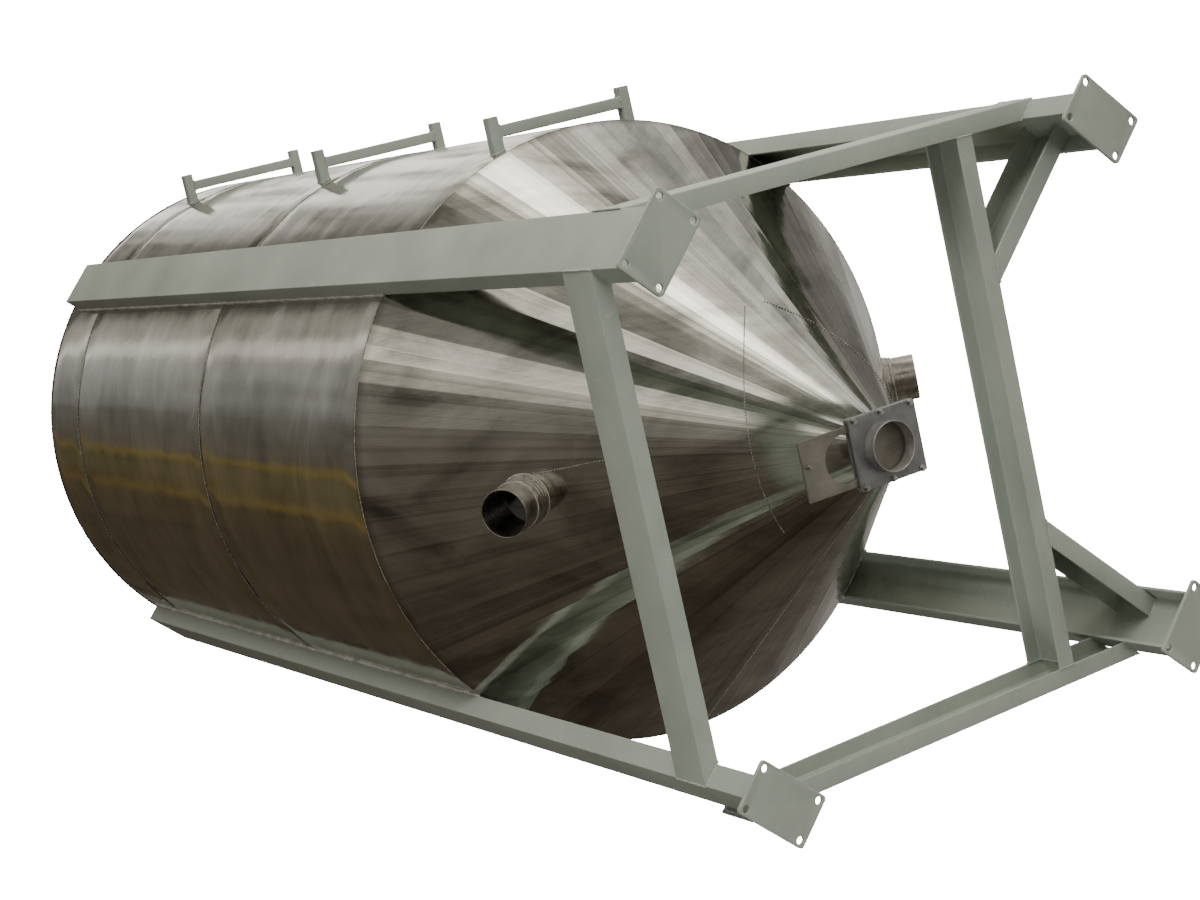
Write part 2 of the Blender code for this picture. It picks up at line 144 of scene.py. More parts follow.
def linear(colour):
    """An sRGB hex colour as linear red, green, blue and alpha."""
    channels = [int(colour[i:i + 2], 16) / 255 for i in (0, 2, 4)]
    return (*[c / 12.92 if c <= 0.04045 else ((c + 0.055) / 1.055) ** 2.4 for c in channels], 1.0)


def put(tree, kind, inputs=(), stops=(), **settings):
    """Adds a node, and gives its outputs.

    Inputs come in the node's order, or in a dictionary by name or number. Each is a value, the output that
    it is linked from, or a list of outputs. Stops are a colour ramp's, as (place, sRGB hex).
    """
    node = tree.nodes.new(kind)
    for key, value in settings.items():
        setattr(node, key, value)
    for _ in stops[2:]:
        node.color_ramp.elements.new(0.5)
    if stops:
        for element, (place, colour) in zip(node.color_ramp.elements, stops):
            element.position = place
            element.color = linear(colour)
    for key, value in inputs.items() if isinstance(inputs, dict) else enumerate(inputs):
        for source in value if isinstance(value, list) else [value]:
            if isinstance(source, bpy.types.NodeSocket):
                tree.links.new(source, node.inputs[key])
            else:
                node.inputs[key].default_value = source
    return node.outputs


def new_material(name, metallic, roughness, **constants):
    """A material with its shader, and the shader's constants set on its own sockets."""
    material = bpy.data.materials.new(name)
    material.use_nodes = True
    shader = material.node_tree.nodes["Principled BSDF"]
    shader.inputs["Metallic"].default_value = metallic
    shader.inputs["Roughness"].default_value = roughness
    for key, value in constants.items():
        shader.inputs[key.replace("_", " ")].default_value = value
    return material, material.node_tree, shader


def mottle(tree, place, sizes, detail, roughness=0.5, distortion=0.0):
    """A cloudy pattern from 0 to 1, whose blots are about the given sizes in millimetres."""
    scales = [1000 / size for size in sizes]
    scaled = put(tree, "ShaderNodeMapping", {"Vector": place, "Scale": tuple(scales)})[0]
    return put(tree, NOISE, {
        "Vector": scaled, "Scale": 1.0, "Detail": detail, "Roughness": roughness, "Distortion": distortion,
    })[0]


def link_finish(tree, shader, colour, roughness, normal):
    """Links a finish to the shader's own sockets."""
    for socket, source in (("Base Color", colour), ("Roughness", roughness), ("Normal", normal)):
        tree.links.new(source, shader.inputs[socket])


def stainless_sheet(name, cone=False):
    """Cold rolled stainless sheet, dull bright finish, handled and wiped.

    The mill's grain runs round the rolled shell, so highlights run along it. It shows as faint fine lines
    over soft cloudy smears, with a straw and brown tint beside the weld seams. Real grain is too fine to
    show, so its lines are drawn some 4 mm wide. Pale and dark strips round the sheet, narrow and strong on
    the braked cone, are painted reflections in the base colour.
    """
    material, tree, shader = new_material(
        name, metallic=1.0, roughness=0.10, Anisotropic=0.35, Anisotropic_Rotation=0.25,
    )
    place = put(tree, "ShaderNodeTexCoord")["Object"]
    x, y, z = put(tree, "ShaderNodeSeparateXYZ", (place,))
    azimuth = put(tree, MATH, (y, x), operation="ARCTAN2")[0]
    turn = put(tree, MATH, (azimuth,), operation="ABSOLUTE")[0]
    around = put(tree, MATH, (turn, SHELL_RADIUS), operation="MULTIPLY")[0]
    # The front and back sheets are read 10 m apart, so that their patterns differ
    side = put(tree, MATH, (y,), operation="SIGN")[0]
    half = put(tree, MATH, (side, 5.0), operation="MULTIPLY")[0]
    if cone:
        # The half cone laid flat: slant distance from the apex, and a turn cut by the cone's sine
        squeeze = math.sin(CONE_HALF_ANGLE)
        across = put(tree, "ShaderNodeCombineXYZ", (x, y, 0.0))[0]
        radius = put(tree, "ShaderNodeVectorMath", (across,), operation="LENGTH")["Value"]
        slant = put(tree, MATH, (radius, squeeze), operation="DIVIDE")[0]
        middle = put(tree, MATH, (turn, math.pi / 2), operation="SUBTRACT")[0]
        flat_turn = put(tree, MATH, (middle, squeeze), operation="MULTIPLY")[0]
        cosine = put(tree, MATH, (flat_turn,), operation="COSINE")[0]
        sine = put(tree, MATH, (flat_turn,), operation="SINE")[0]
        down = put(tree, MATH, (slant, cosine), operation="MULTIPLY")[0]
        sideways = put(tree, MATH, (slant, sine), operation="MULTIPLY")[0]
        sheet = put(tree, "ShaderNodeCombineXYZ", (down, sideways, half))[0]
        # On the cone the painted reflection strips are narrow and strong, running down the slant about a
        # braked flat wide
        reflection_strips_at = put(tree, "ShaderNodeCombineXYZ", (around, half, 0.0))[0]
        grain_sizes = (300, 4, 1000)
        reflection_strip_sizes = (73.3, 1000, 1000)
        cloud_stops = [(0.34, "A8A8A1"), (0.50, "CFCFC8"), (0.68, "E9EAE4")]
        painted_reflection_streak_stops = [(0.36, "9D9D97"), (0.46, "F0F1EC"), (0.56, "FFFFFF"), (0.64, "D5D6D0")]
        dullest = 0.19
    else:
        sheet = put(tree, "ShaderNodeCombineXYZ", (around, z, half))[0]
        # On the shell the painted reflection strips are broad and faint
        reflection_strips_at = put(tree, "ShaderNodeCombineXYZ", (around, half, z))[0]
        grain_sizes = (160, 3.5, 1000)
        reflection_strip_sizes = (687.5, 1000, 1111)
        cloud_stops = [(0.34, "BDBDB6"), (0.50, "CFCFC8"), (0.68, "E2E3DD")]
        painted_reflection_streak_stops = [(0.36, "C4C4BE"), (0.46, "F0F1EC"), (0.56, "FFFFFF"), (0.64, "E5E6E0")]
        dullest = 0.15
    grain = mottle(tree, sheet, grain_sizes, 3.0, 0.6)
    smears = mottle(tree, sheet, (454.5, 222.2, 1000), 6.0, 0.55, 0.8)
    # The strips are painted reflections, multiplied into the base colour
    reflection_strip_pattern = mottle(tree, reflection_strips_at, reflection_strip_sizes, 3.0, 0.7)
    clouds = put(tree, RAMP, (smears,), stops=cloud_stops)[0]
    painted_reflection_streaks = put(tree, RAMP, (reflection_strip_pattern,), stops=painted_reflection_streak_stops)[0]
    lines = put(tree, RAMP, (grain,), stops=[(0.30, "D4D4CC"), (0.70, "FFFFFF")])[0]
    toned = put(tree, MIX, {0: 0.55, 6: clouds, 7: painted_reflection_streaks}, data_type="RGBA", blend_type="MULTIPLY")[2]
    lined = put(tree, MIX, {0: 0.45, 6: toned, 7: lines}, data_type="RGBA", blend_type="MULTIPLY")[2]
    # The tint fades out by 26 mm from the nearest seam
    nearest = 1.0
    for seam in (*SEAM_HEIGHTS, SHELL_TOP_Z):
        apart = put(tree, MATH, (z, seam), operation="SUBTRACT")[0]
        apart = put(tree, MATH, (apart,), operation="ABSOLUTE")[0]
        nearest = put(tree, MATH, (apart, nearest), operation="MINIMUM")[0]
    heat = put(tree, RANGE, (nearest, 0.003, 0.026, 0.60, 0.0))[0]
    tinted = put(tree, MIX, {0: heat, 6: lined, 7: linear("857C70")}, data_type="RGBA")[2]
    rough = put(tree, RANGE, (smears, 0.3, 0.7, 0.07, dullest))[0]
    dents = mottle(tree, sheet, (285.7, 285.7, 1000), 4.0, 0.45)
    dented = put(tree, BUMP, {"Height": dents, "Strength": 1.0, "Distance": 0.0022})[0]
    brushed = put(tree, BUMP, {"Height": grain, "Normal": dented, "Strength": 1.0, "Distance": 0.00004})[0]
    link_finish(tree, shader, tinted, rough, brushed)
    return material


def frame_enamel():
    """Grey-green enamel sprayed over rolled steel: orange peel, dusty scuffs and a few brown specks.

    The peel is drawn coarser than the real one of a millimetre or two, so that it shows.
    """
    material, tree, shader = new_material("grey_green_sprayed_enamel", metallic=0.0, roughness=0.42)
    place = put(tree, "ShaderNodeTexCoord")["Object"]
    tone = mottle(tree, place, [400] * 3, 6.0, 0.6)
    colour = put(tree, RAMP, (tone,), stops=[(0.30, "929A8F"), (0.55, "9FA79B"), (0.75, "A9AFA3")])[0]
    scuffs = mottle(tree, place, (38.46, 38.46, 111.1), 8.0, 0.72, 0.6)
    scuffed = put(tree, RANGE, (scuffs, 0.62, 0.70, 0.0, 0.55))[0]
    # Light lines on edges, partly paint worn thin and partly a painted edge highlight, found by a normal
    # that is rounded over 3 mm
    face = put(tree, "ShaderNodeNewGeometry")["Normal"]
    rounded_face = put(tree, "ShaderNodeBevel", {"Radius": 0.003}, samples=4)[0]
    alike = put(tree, "ShaderNodeVectorMath", (face, rounded_face), operation="DOT_PRODUCT")["Value"]
    edge = put(tree, RANGE, (alike, 0.99, 0.93, 0.0, 0.75))[0]
    edge_line_breakup = put(tree, RANGE, (mottle(tree, place, [45.45] * 3, 5.0), 0.38, 0.56))[0]
    edge = put(tree, MATH, (edge, edge_line_breakup), operation="MULTIPLY")[0]
    specks = put(tree, RANGE, (mottle(tree, place, [6.25] * 3, 2.0), 0.735, 0.76, 0.0, 0.8))[0]
    # Scuffs and specks are the enamel's own. The pale edge line is partly worn paint and partly a painted
    # edge highlight
    for share, tint in ((scuffed, "BDBFB6"), (edge, "D6D9D0"), (specks, "5C5348")):
        colour = put(tree, MIX, {0: share, 6: colour, 7: linear(tint)}, data_type="RGBA")[2]
    rough = put(tree, RANGE, (tone, 0.3, 0.7, 0.36, 0.55))[0]
    uneven = mottle(tree, place, [71.43] * 3, 2.0)
    rolled = put(tree, BUMP, {"Height": uneven, "Strength": 1.0, "Distance": 0.0006})[0]
    peel = mottle(tree, place, [4.545] * 3, 1.0)
    sprayed = put(tree, BUMP, {"Height": peel, "Normal": rolled, "Strength": 1.0, "Distance": 0.00012})[0]
    link_finish(tree, shader, colour, rough, sprayed)
    return material


def plain_metal(name, dark, light, smooth, dull, grain_sizes, relief, metallic=1.0):
    """A metal from dark to light over its grain and stains, and from smooth to dull over its stains."""
    material, tree, shader = new_material(name, metallic=metallic, roughness=smooth)
    place = put(tree, "ShaderNodeTexCoord")["Object"]
    grain = mottle(tree, place, grain_sizes, 4.0, 0.65)
    stains = mottle(tree, place, [62.5] * 3, 5.0)
    both = put(tree, MIX, {0: 0.5, 2: grain, 3: stains})[0]
    colour = put(tree, RAMP, (both,), stops=[(0.35, dark), (0.65, light)])[0]
    rough = put(tree, RANGE, (stains, 0.3, 0.7, smooth, dull))[0]
    bump = put(tree, BUMP, {"Height": grain, "Strength": 1.0, "Distance": relief})[0]
    link_finish(tree, shader, colour, rough, bump)
    return material


SHELL_STEEL = stainless_sheet("cold_rolled_stainless_sheet")
CONE_STEEL = stainless_sheet("press_braked_stainless_sheet", cone=True)
ENAMEL = frame_enamel()
# Drawn stainless pipe: lines round the pipe, brighter than the sheet
PIPE_STEEL = plain_metal(
    "drawn_stainless_pipe", "9C9892", "D2CEC5", 0.24, 0.40, (16.67, 16.67, 4.545), 0.00004
)
# Stainless weld metal as it cooled: pale ripples under a thin dull skin, which scatters light as paint does
WELD_STEEL = plain_metal(
    "cooled_stainless_weld", "A3A39C", "EEEEE8", 0.28, 0.46, [5] * 3, 0.0002, metallic=0.6
)
# Seam weld brushed flat with the sheet: greyer, with the odd bright ripple
SEAM_STEEL = plain_metal(
    "brushed_flush_seam_weld", "7F7B74", "DBD8D0", 0.25, 0.45, [6.25] * 3, 0.0002, metallic=0.8
)
# Ground mild steel plate, oiled: dull, blue-grey, faint grinding lines
PLATE_STEEL = plain_metal(
    "ground_mild_steel_plate", "7B7D7E", "9D9E9E", 0.38, 0.54, (40, 2.5, 2.5), 0.00003, metallic=0.75
)
# Turned steel pipe: a soft sheen with fine turning lines, duller than the stainless
SPOUT_STEEL = plain_metal(
    "turned_steel_pipe", "8C8A86", "C2BFB9", 0.28, 0.42, (12.5, 12.5, 1.667), 0.00003, metallic=0.7
)
# Sheared blade plate: duller and warmer than the flanges
BLADE_STEEL = plain_metal(
    "sheared_steel_plate", "7C7970", "9B978D", 0.40, 0.55, (2.5, 33.33, 2.5), 0.00004, metallic=0.8
)
# Zinc plated fasteners: bright and slightly soft
ZINC_STEEL = plain_metal("zinc_plated_steel", "A9A9A2", "D8D8D0", 0.24, 0.38, [11.11] * 3, 0.00005)


def turn_frame(origin, out, along):
    """A placing matrix whose X axis is out and whose Z axis is along."""
    out, along = Vector(out).normalized(), Vector(along).normalized()
    turn = Matrix((out, along.cross(out), along)).transposed().to_4x4()
    return Matrix.Translation(Vector(origin)) @ turn


def outwards_at(degrees):
    """The level direction away from the silo's axis, at a turn from +X."""
    return Vector((math.cos(math.radians(degrees)), math.sin(math.radians(degrees)), 0.0))


def rounded(corners, steps=4):
    """A closed outline through (x, y, radius) corners, each turned with an arc of its radius."""
    points = []
    count = len(corners)
    for i, (x, y, radius) in enumerate(corners):
        here = Vector((x, y))
        if radius <= 0:
            points.append(here)
            continue
        before = (Vector(corners[i - 1][:2]) - here).normalized()
        after = (Vector(corners[(i + 1) % count][:2]) - here).normalized()
        half = before.angle(after) / 2
        centre = here + (before + after).normalized() * radius / math.sin(half)
        start = here + before * radius / math.tan(half) - centre
        end = here + after * radius / math.tan(half) - centre
        sweep = start.angle_signed(end)
        for k in range(steps + 1):
            points.append(centre + Matrix.Rotation(-sweep * k / steps, 2) @ start)
    return points


def skin(bm, rings, closed=False):
    """Joins rings of equally many points by quads. The ends are capped, or joined to each other."""
    loops = [[bm.verts.new(point) for point in ring] for ring in rings]
    following = loops[1:] + loops[:1] if closed else loops[1:]
    for low, high in zip(loops, following):
        for i in range(len(low)):
            j = (i + 1) % len(low)
            bm.faces.new((low[i], low[j], high[j], high[i]))
    if not closed:
        bm.faces.new(loops[0][::-1])
        bm.faces.new(loops[-1])


def add_piece(name, mesh, material, slot, replaces=(), body="silo", sharp=35):
    """A finished piece from a mesh: shaded, with its material, riding on its body."""
    mesh.shade_smooth()
    mesh.set_sharp_from_angle(angle=math.radians(sharp))
    mesh.materials.clear()
    mesh.materials.append(material)
    piece = bpy.data.objects.new(name, mesh)
    bpy.context.scene.collection.objects.link(piece)
    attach(piece, body)
    if replaces:
        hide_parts(*replaces)
    return piece


def piece_from(name, build, material, slot, **more):
    """A finished piece of the closed bodies that build(bm) makes, all facing outwards."""
    bm = bmesh.new()
    build(bm)
    bmesh.ops.recalc_face_normals(bm, faces=bm.faces)
    mesh = bpy.data.meshes.new(name)
    bm.to_mesh(mesh)
    bm.free()
    return add_piece(name, mesh, material, slot, **more)


def baked(obj):
    """The plain mesh that an object's modifiers make. The object is removed."""
    graph = bpy.context.evaluated_depsgraph_get()
    mesh = bpy.data.meshes.new_from_object(obj.evaluated_get(graph))
    bpy.data.objects.remove(obj)
    return mesh


def grow(name, data, tree, inputs):
    """The mesh that a Geometry Nodes tree makes on data. Inputs are set by their sockets' identifiers."""
    obj = bpy.data.objects.new(name, data)
    bpy.context.scene.collection.objects.link(obj)
    modifier = obj.modifiers.new(name, "NODES")
    modifier.node_group = tree
    for item in tree.interface.items_tree:
        if item.in_out == "INPUT" and item.name in inputs:
            modifier[item.identifier] = inputs[item.name]
    mesh = baked(obj)
    mesh.name = name
    return mesh


def new_tree(name, sockets):
    """A Geometry Nodes tree with named inputs, and the sockets that they come in by."""
    tree = bpy.data.node_groups.new(name, "GeometryNodeTree")
    tree.interface.new_socket("Geometry", in_out="OUTPUT", socket_type="NodeSocketGeometry")
    tree.interface.new_socket("Geometry", in_out="INPUT", socket_type="NodeSocketGeometry")
    for label, kind in sockets:
        tree.interface.new_socket(label, in_out="INPUT", socket_type="NodeSocket" + kind)
    return tree, put(tree, "NodeGroupInput")


def end_tree(tree, geometry, material):
    """Ends a tree: instances made real, shaded smooth, with their material."""
    real = put(tree, "GeometryNodeRealizeInstances", {0: geometry})[0]
    smooth = put(tree, "GeometryNodeSetShadeSmooth", {0: real})[0]
    finished = put(tree, "GeometryNodeSetMaterial", {0: smooth, "Material": material})[0]
    put(tree, "NodeGroupOutput", {0: finished})


def make_sheet_tree():
    """Bends a flat grid into a ring of sheet, rolled or braked into flats, and pulled in at its seams."""
    tree, given = new_tree("bent_sheet", [
        ("Low Radius", "Float"), ("High Radius", "Float"), ("Low Height", "Float"), ("High Height", "Float"),
        ("Columns", "Int"), ("Rows", "Int"), ("Bends", "Int"), ("Uneven Bends", "Float"),
        ("Bend Error", "Float"), ("Waviness", "Float"), ("Wave Scale", "Float"), ("Seam Pull", "Float"),
        ("Seam Reach", "Float"), ("Seed", "Float"), ("Material", "Material"),
    ])
    grid = put(tree, "GeometryNodeMeshGrid", {
        "Size X": 1.0, "Size Y": 1.0, "Vertices X": given["Columns"], "Vertices Y": given["Rows"],
    })["Mesh"]
    flat = put(tree, "ShaderNodeSeparateXYZ", (put(tree, "GeometryNodeInputPosition")[0],))
    along = put(tree, MATH, (flat["X"], 0.5), operation="ADD")[0]
    up = put(tree, MATH, (flat["Y"], 0.5), operation="ADD")[0]
    # Each flat's columns are drawn close to its bends, so that a bend is a narrow line
    cells = put(tree, MATH, (along, given["Bends"]), operation="MULTIPLY")[0]
    # A hair is added, so that the column on a bend counts in the next flat whatever the rounding
    flat_number = put(tree, MATH, (cells, 0.0001), operation="ADD")[0]
    flat_number = put(tree, MATH, (flat_number,), operation="FLOOR")[0]
    across = put(tree, MATH, (cells, flat_number), operation="SUBTRACT")[0]
    across = put(tree, MATH, (across, 0.5), operation="SUBTRACT")[0]
    across = put(tree, MATH, (across, 2.0), operation="MULTIPLY")[0]
    side = put(tree, MATH, (across,), operation="SIGN")[0]
    eased = put(tree, MATH, (across,), operation="ABSOLUTE")[0]
    eased = put(tree, MATH, (eased, 0.14), operation="POWER")[0]
    across = put(tree, MATH, (side, eased), operation="MULTIPLY")[0]
    across = put(tree, MATH, (across, 0.5), operation="MULTIPLY")[0]
    # The bends drift from even steps
    step = put(tree, MATH, (math.tau, given["Bends"]), operation="DIVIDE")[0]
    even_turn = put(tree, MATH, (flat_number, 0.5), operation="ADD")[0]
    even_turn = put(tree, MATH, (even_turn, across), operation="ADD")[0]
    even_turn = put(tree, MATH, (even_turn, step), operation="MULTIPLY")[0]
    circle = put(tree, "ShaderNodeCombineXYZ", (
        put(tree, MATH, (even_turn,), operation="COSINE")[0],
        put(tree, MATH, (even_turn,), operation="SINE")[0],
        given["Seed"],
    ))[0]
    drift = put(tree, NOISE, {"Vector": circle, "Scale": 7.0, "Detail": 1.0})[0]
    drift = put(tree, MATH, (drift, 0.5), operation="SUBTRACT")[0]
    drift = put(tree, MATH, (drift, given["Uneven Bends"]), operation="MULTIPLY")[0]
    drift = put(tree, MATH, (drift, step), operation="MULTIPLY")[0]
    turn = put(tree, MATH, (even_turn, drift), operation="ADD")[0]
    cosine = put(tree, MATH, (turn,), operation="COSINE")[0]
    sine = put(tree, MATH, (turn,), operation="SINE")[0]
    # A flat lies nearer to the axis at its middle than at its bends
    corner = put(tree, MATH, (step, 2.0), operation="DIVIDE")[0]
    corner = put(tree, MATH, (corner,), operation="COSINE")[0]
    between = put(tree, MATH, (across, step), operation="MULTIPLY")[0]
    between = put(tree, MATH, (between,), operation="COSINE")[0]
    flatness = put(tree, MATH, (corner, between), operation="DIVIDE")[0]
    radius = put(tree, RANGE, (up, 0.0, 1.0, given["Low Radius"], given["High Radius"]))[0]
    height = put(tree, RANGE, (up, 0.0, 1.0, given["Low Height"], given["High Height"]))[0]
    # A bend's error grows with the radius, and the welded rim pulls it out again
    errors = []
    for end in (0.0, 1.0):
        number = put(tree, MATH, (flat_number, end), operation="ADD")[0]
        number = put(tree, MATH, (number, given["Bends"]), operation="FLOORED_MODULO")[0]
        number = put(tree, MATH, (number, given["Seed"]), operation="ADD")[0]
        errors.append(put(tree, "ShaderNodeTexWhiteNoise", {"W": number}, noise_dimensions="1D")["Value"])
    share = put(tree, MATH, (across, 0.5), operation="ADD")[0]
    error = put(tree, MIX, {0: share, 2: errors[0], 3: errors[1]})[0]
    error = put(tree, MATH, (error, given["Bend Error"]), operation="MULTIPLY")[0]
    size = put(tree, MATH, (radius, given["High Radius"]), operation="DIVIDE")[0]
    error = put(tree, MATH, (error, size), operation="MULTIPLY")[0]
    rim = put(tree, RANGE, (up, 0.93, 0.99, 1.0, 0.0))[0]
    error = put(tree, MATH, (error, rim), operation="MULTIPLY")[0]
    # Both edges are pulled in by their welds, less and more by turns
    span = put(tree, MATH, (given["High Height"], given["Low Height"]), operation="SUBTRACT")[0]
    down = put(tree, MATH, (1.0, up), operation="SUBTRACT")[0]
    pull = 0.0
    for share in (up, down):
        distance = put(tree, MATH, (share, span), operation="MULTIPLY")[0]
        distance = put(tree, MATH, (distance, given["Seam Reach"]), operation="DIVIDE")[0]
        bell = put(tree, MATH, (distance, distance), operation="MULTIPLY")[0]
        bell = put(tree, MATH, (bell, -1.0), operation="MULTIPLY")[0]
        bell = put(tree, MATH, (bell,), operation="EXPONENT")[0]
        pull = put(tree, MATH, (bell, pull), operation="ADD")[0]
    level = put(tree, MATH, (height, SHELL_RADIUS), operation="DIVIDE")[0]
    level = put(tree, MATH, (level, given["Seed"]), operation="ADD")[0]
    where = put(tree, "ShaderNodeCombineXYZ", (cosine, sine, level))[0]
    puckers = put(tree, NOISE, {"Vector": where, "Scale": 9.0, "Detail": 1.0, "Roughness": 0.4})[0]
    pull = put(tree, MATH, (pull, puckers), operation="MULTIPLY")[0]
    pull = put(tree, MATH, (pull, given["Seam Pull"]), operation="MULTIPLY")[0]
    waves = put(tree, NOISE, {
        "Vector": where, "Scale": given["Wave Scale"], "Detail": 2.0, "Roughness": 0.45,
    })[0]
    inwards = put(tree, MATH, (waves, given["Waviness"]), operation="MULTIPLY")[0]
    inwards = put(tree, MATH, (inwards, pull), operation="ADD")[0]
    inwards = put(tree, MATH, (inwards, error), operation="ADD")[0]
    radius = put(tree, MATH, (radius, flatness), operation="MULTIPLY")[0]
    radius = put(tree, MATH, (radius, inwards), operation="SUBTRACT")[0]
    bent = put(tree, "ShaderNodeCombineXYZ", (
        put(tree, MATH, (radius, cosine), operation="MULTIPLY")[0],
        put(tree, MATH, (radius, sine), operation="MULTIPLY")[0],
        height,
    ))[0]
    ring = put(tree, "GeometryNodeSetPosition", {"Geometry": grid, "Position": bent})[0]
    joined = put(tree, "GeometryNodeMergeByDistance", {0: ring, "Distance": 0.00002})[0]
    end_tree(tree, joined, given["Material"])
    return tree


def make_weld_tree():
    """Lays overlapping scales of weld metal along a curve, as a welder's torch leaves them."""
    tree, given = new_tree("weld_bead", [
        ("Pitch", "Float"), ("Width", "Float"), ("Length", "Float"), ("Wander", "Float"), ("Seed", "Int"),
        ("Material", "Material"),
    ])
    points = put(tree, "GeometryNodeCurveToPoints", {
        "Curve": given["Geometry"], "Length": given["Pitch"],
    }, mode="LENGTH")
    low, high = [
        put(tree, "ShaderNodeVectorMath", (given["Wander"], (way,) * 3), operation="MULTIPLY")[0]
        for way in (-1.0, 1.0)
    ]
    shake = put(tree, "FunctionNodeRandomValue", {
        0: low, 1: high, "Seed": given["Seed"],
    }, data_type="FLOAT_VECTOR")[0]
    shaken = put(tree, "GeometryNodeSetPosition", {"Geometry": points["Points"], "Offset": shake})[0]
    ripple = put(tree, "GeometryNodeMeshUVSphere", {"Segments": 7, "Rings": 4, "Radius": 1.0})["Mesh"]
    size = put(tree, "ShaderNodeCombineXYZ", (given["Width"], given["Width"], given["Length"]))[0]
    halved = put(tree, "ShaderNodeVectorMath", {0: size, "Scale": 0.5}, operation="SCALE")[0]
    luck = put(tree, "FunctionNodeRandomValue", {
        2: 0.8, 3: 1.2, "Seed": given["Seed"],
    }, data_type="FLOAT")[1]
    varied = put(tree, "ShaderNodeVectorMath", {0: halved, "Scale": luck}, operation="SCALE")[0]
    turned = put(tree, "FunctionNodeAlignRotationToVector", {"Vector": points["Tangent"]}, axis="Z")[0]
    laid = put(tree, "GeometryNodeInstanceOnPoints", {
        "Points": shaken, "Instance": ripple, "Rotation": turned, "Scale": varied,
    })[0]
    end_tree(tree, laid, given["Material"])
    return tree


def make_bolt_tree():
    """A hexagon bolt hanging down at each point, with its washer below the grip and its nut above it."""
    tree, given = new_tree("hexagon_bolt", [
        ("Head Radius", "Float"), ("Head Height", "Float"), ("Grip", "Float"), ("Stud", "Float"),
        ("Seed", "Int"), ("Material", "Material"),
    ])
    radius, height, grip = given["Head Radius"], given["Head Height"], given["Grip"]
    washer_height = put(tree, MATH, (height, 0.22), operation="MULTIPLY")[0]
    washer_radius = put(tree, MATH, (radius, 1.22), operation="MULTIPLY")[0]
    crown_height = put(tree, MATH, (height, 0.16), operation="MULTIPLY")[0]
    crown_radius = put(tree, MATH, (radius, 0.80), operation="MULTIPLY")[0]
    nut_height = put(tree, MATH, (height, 1.15), operation="MULTIPLY")[0]
    stud_radius = put(tree, MATH, (radius, 0.55), operation="MULTIPLY")[0]
    under = put(tree, MATH, (washer_height, -1.0), operation="MULTIPLY")[0]
    head_low = put(tree, MATH, (under, height), operation="SUBTRACT")[0]
    crown_low = put(tree, MATH, (head_low, crown_height), operation="SUBTRACT")[0]
    nut_low = put(tree, MATH, (grip, washer_height), operation="ADD")[0]
    rods = []
    for sides, rod_radius, rod_height, low in (
        (22, washer_radius, washer_height, under),
        (6, radius, height, head_low),
        (18, crown_radius, crown_height, crown_low),
        (22, washer_radius, washer_height, grip),
        (6, radius, nut_height, nut_low),
        (14, stud_radius, given["Stud"], grip),
    ):
        rod = put(tree, "GeometryNodeMeshCylinder", {
            "Vertices": sides, "Radius": rod_radius, "Depth": rod_height,
        }, fill_type="NGON")["Mesh"]
        middle = put(tree, MATH, (rod_height, 0.5), operation="MULTIPLY")[0]
        middle = put(tree, MATH, (low, middle), operation="ADD")[0]
        lift = put(tree, "ShaderNodeCombineXYZ", {2: middle})[0]
        rods.append(put(tree, "GeometryNodeTransform", {0: rod, "Translation": lift})[0])
    bolt = put(tree, "GeometryNodeJoinGeometry", {0: rods})[0]
    spin = put(tree, "FunctionNodeRandomValue", {
        0: (0.0, 0.0, 0.0), 1: (0.0, 0.0, math.pi), "Seed": given["Seed"],
    }, data_type="FLOAT_VECTOR")[0]
    fitted = put(tree, "GeometryNodeInstanceOnPoints", {
        "Points": given["Geometry"], "Instance": bolt, "Rotation": spin,
    })[0]
    end_tree(tree, fitted, given["Material"])
    return tree


SHEET_TREE = make_sheet_tree()
WELD_TREE = make_weld_tree()
BOLT_TREE = make_bolt_tree()


def sheet_ring(
    name, replaces, radii, heights, rows, seed, material=SHELL_STEEL, wall=SHEET_WALL, columns=193,
    bends=192, uneven=0.0, error=0.0, waviness=0.0022, wave_scale=3.2, pull=0.0060, reach=0.045, cutters=(),
):
    """A ring of bent sheet with its real thickness, cut by the cutters.

    The wave scale is the number of waves in one shell radius. Uneven is how far a bend drifts, in steps
    from bend to bend. The bend error, waviness, seam pull and reach are in metres.
    """
    sheet = grow(name, bpy.data.meshes.new(name + "_blank"), SHEET_TREE, {
        "Low Radius": radii[0], "High Radius": radii[1], "Low Height": heights[0], "High Height": heights[1],
        "Columns": columns, "Rows": rows, "Bends": bends, "Uneven Bends": uneven, "Bend Error": error,
        "Waviness": waviness, "Wave Scale": wave_scale, "Seam Pull": pull, "Seam Reach": reach, "Seed": seed,
        "Material": material,
    })
    solid = bpy.data.objects.new(name + "_solid", sheet)
    bpy.context.scene.collection.objects.link(solid)
    thick = solid.modifiers.new("wall", "SOLIDIFY")
    thick.thickness = wall
    thick.offset = -1.0
    for cutter in cutters:
        cut = solid.modifiers.new(cutter.name, "BOOLEAN")
        cut.object = cutter
        cut.solver = "EXACT"
    mesh = baked(solid)
    return add_piece(name, mesh, material, "stainless_sheet", replaces)


def nozzle_place(side):
    """The nozzle's frame: its Z points out, square to the cone, from the cone's outer face."""
    outwards = outwards_at(NOZZLE_AZIMUTHS[side])
    radius = CONE_FOOT_RADIUS + CONE_SPREAD * (NOZZLE_Z - CONE_FOOT_Z)
    along = outwards - Vector((0.0, 0.0, CONE_SPREAD))
    sideways = outwards.cross(Vector((0.0, 0.0, 1.0)))
    return turn_frame(outwards * radius + Vector((0.0, 0.0, NOZZLE_Z)), sideways, along)


def circle_points(radius, z, steps, place=Matrix.Identity(4)):
    """Points round the Z axis of a frame, at a height in it."""
    turns = [math.tau * k / steps for k in range(steps)]
    return [place @ Vector((radius * math.cos(t), radius * math.sin(t), z)) for t in turns]


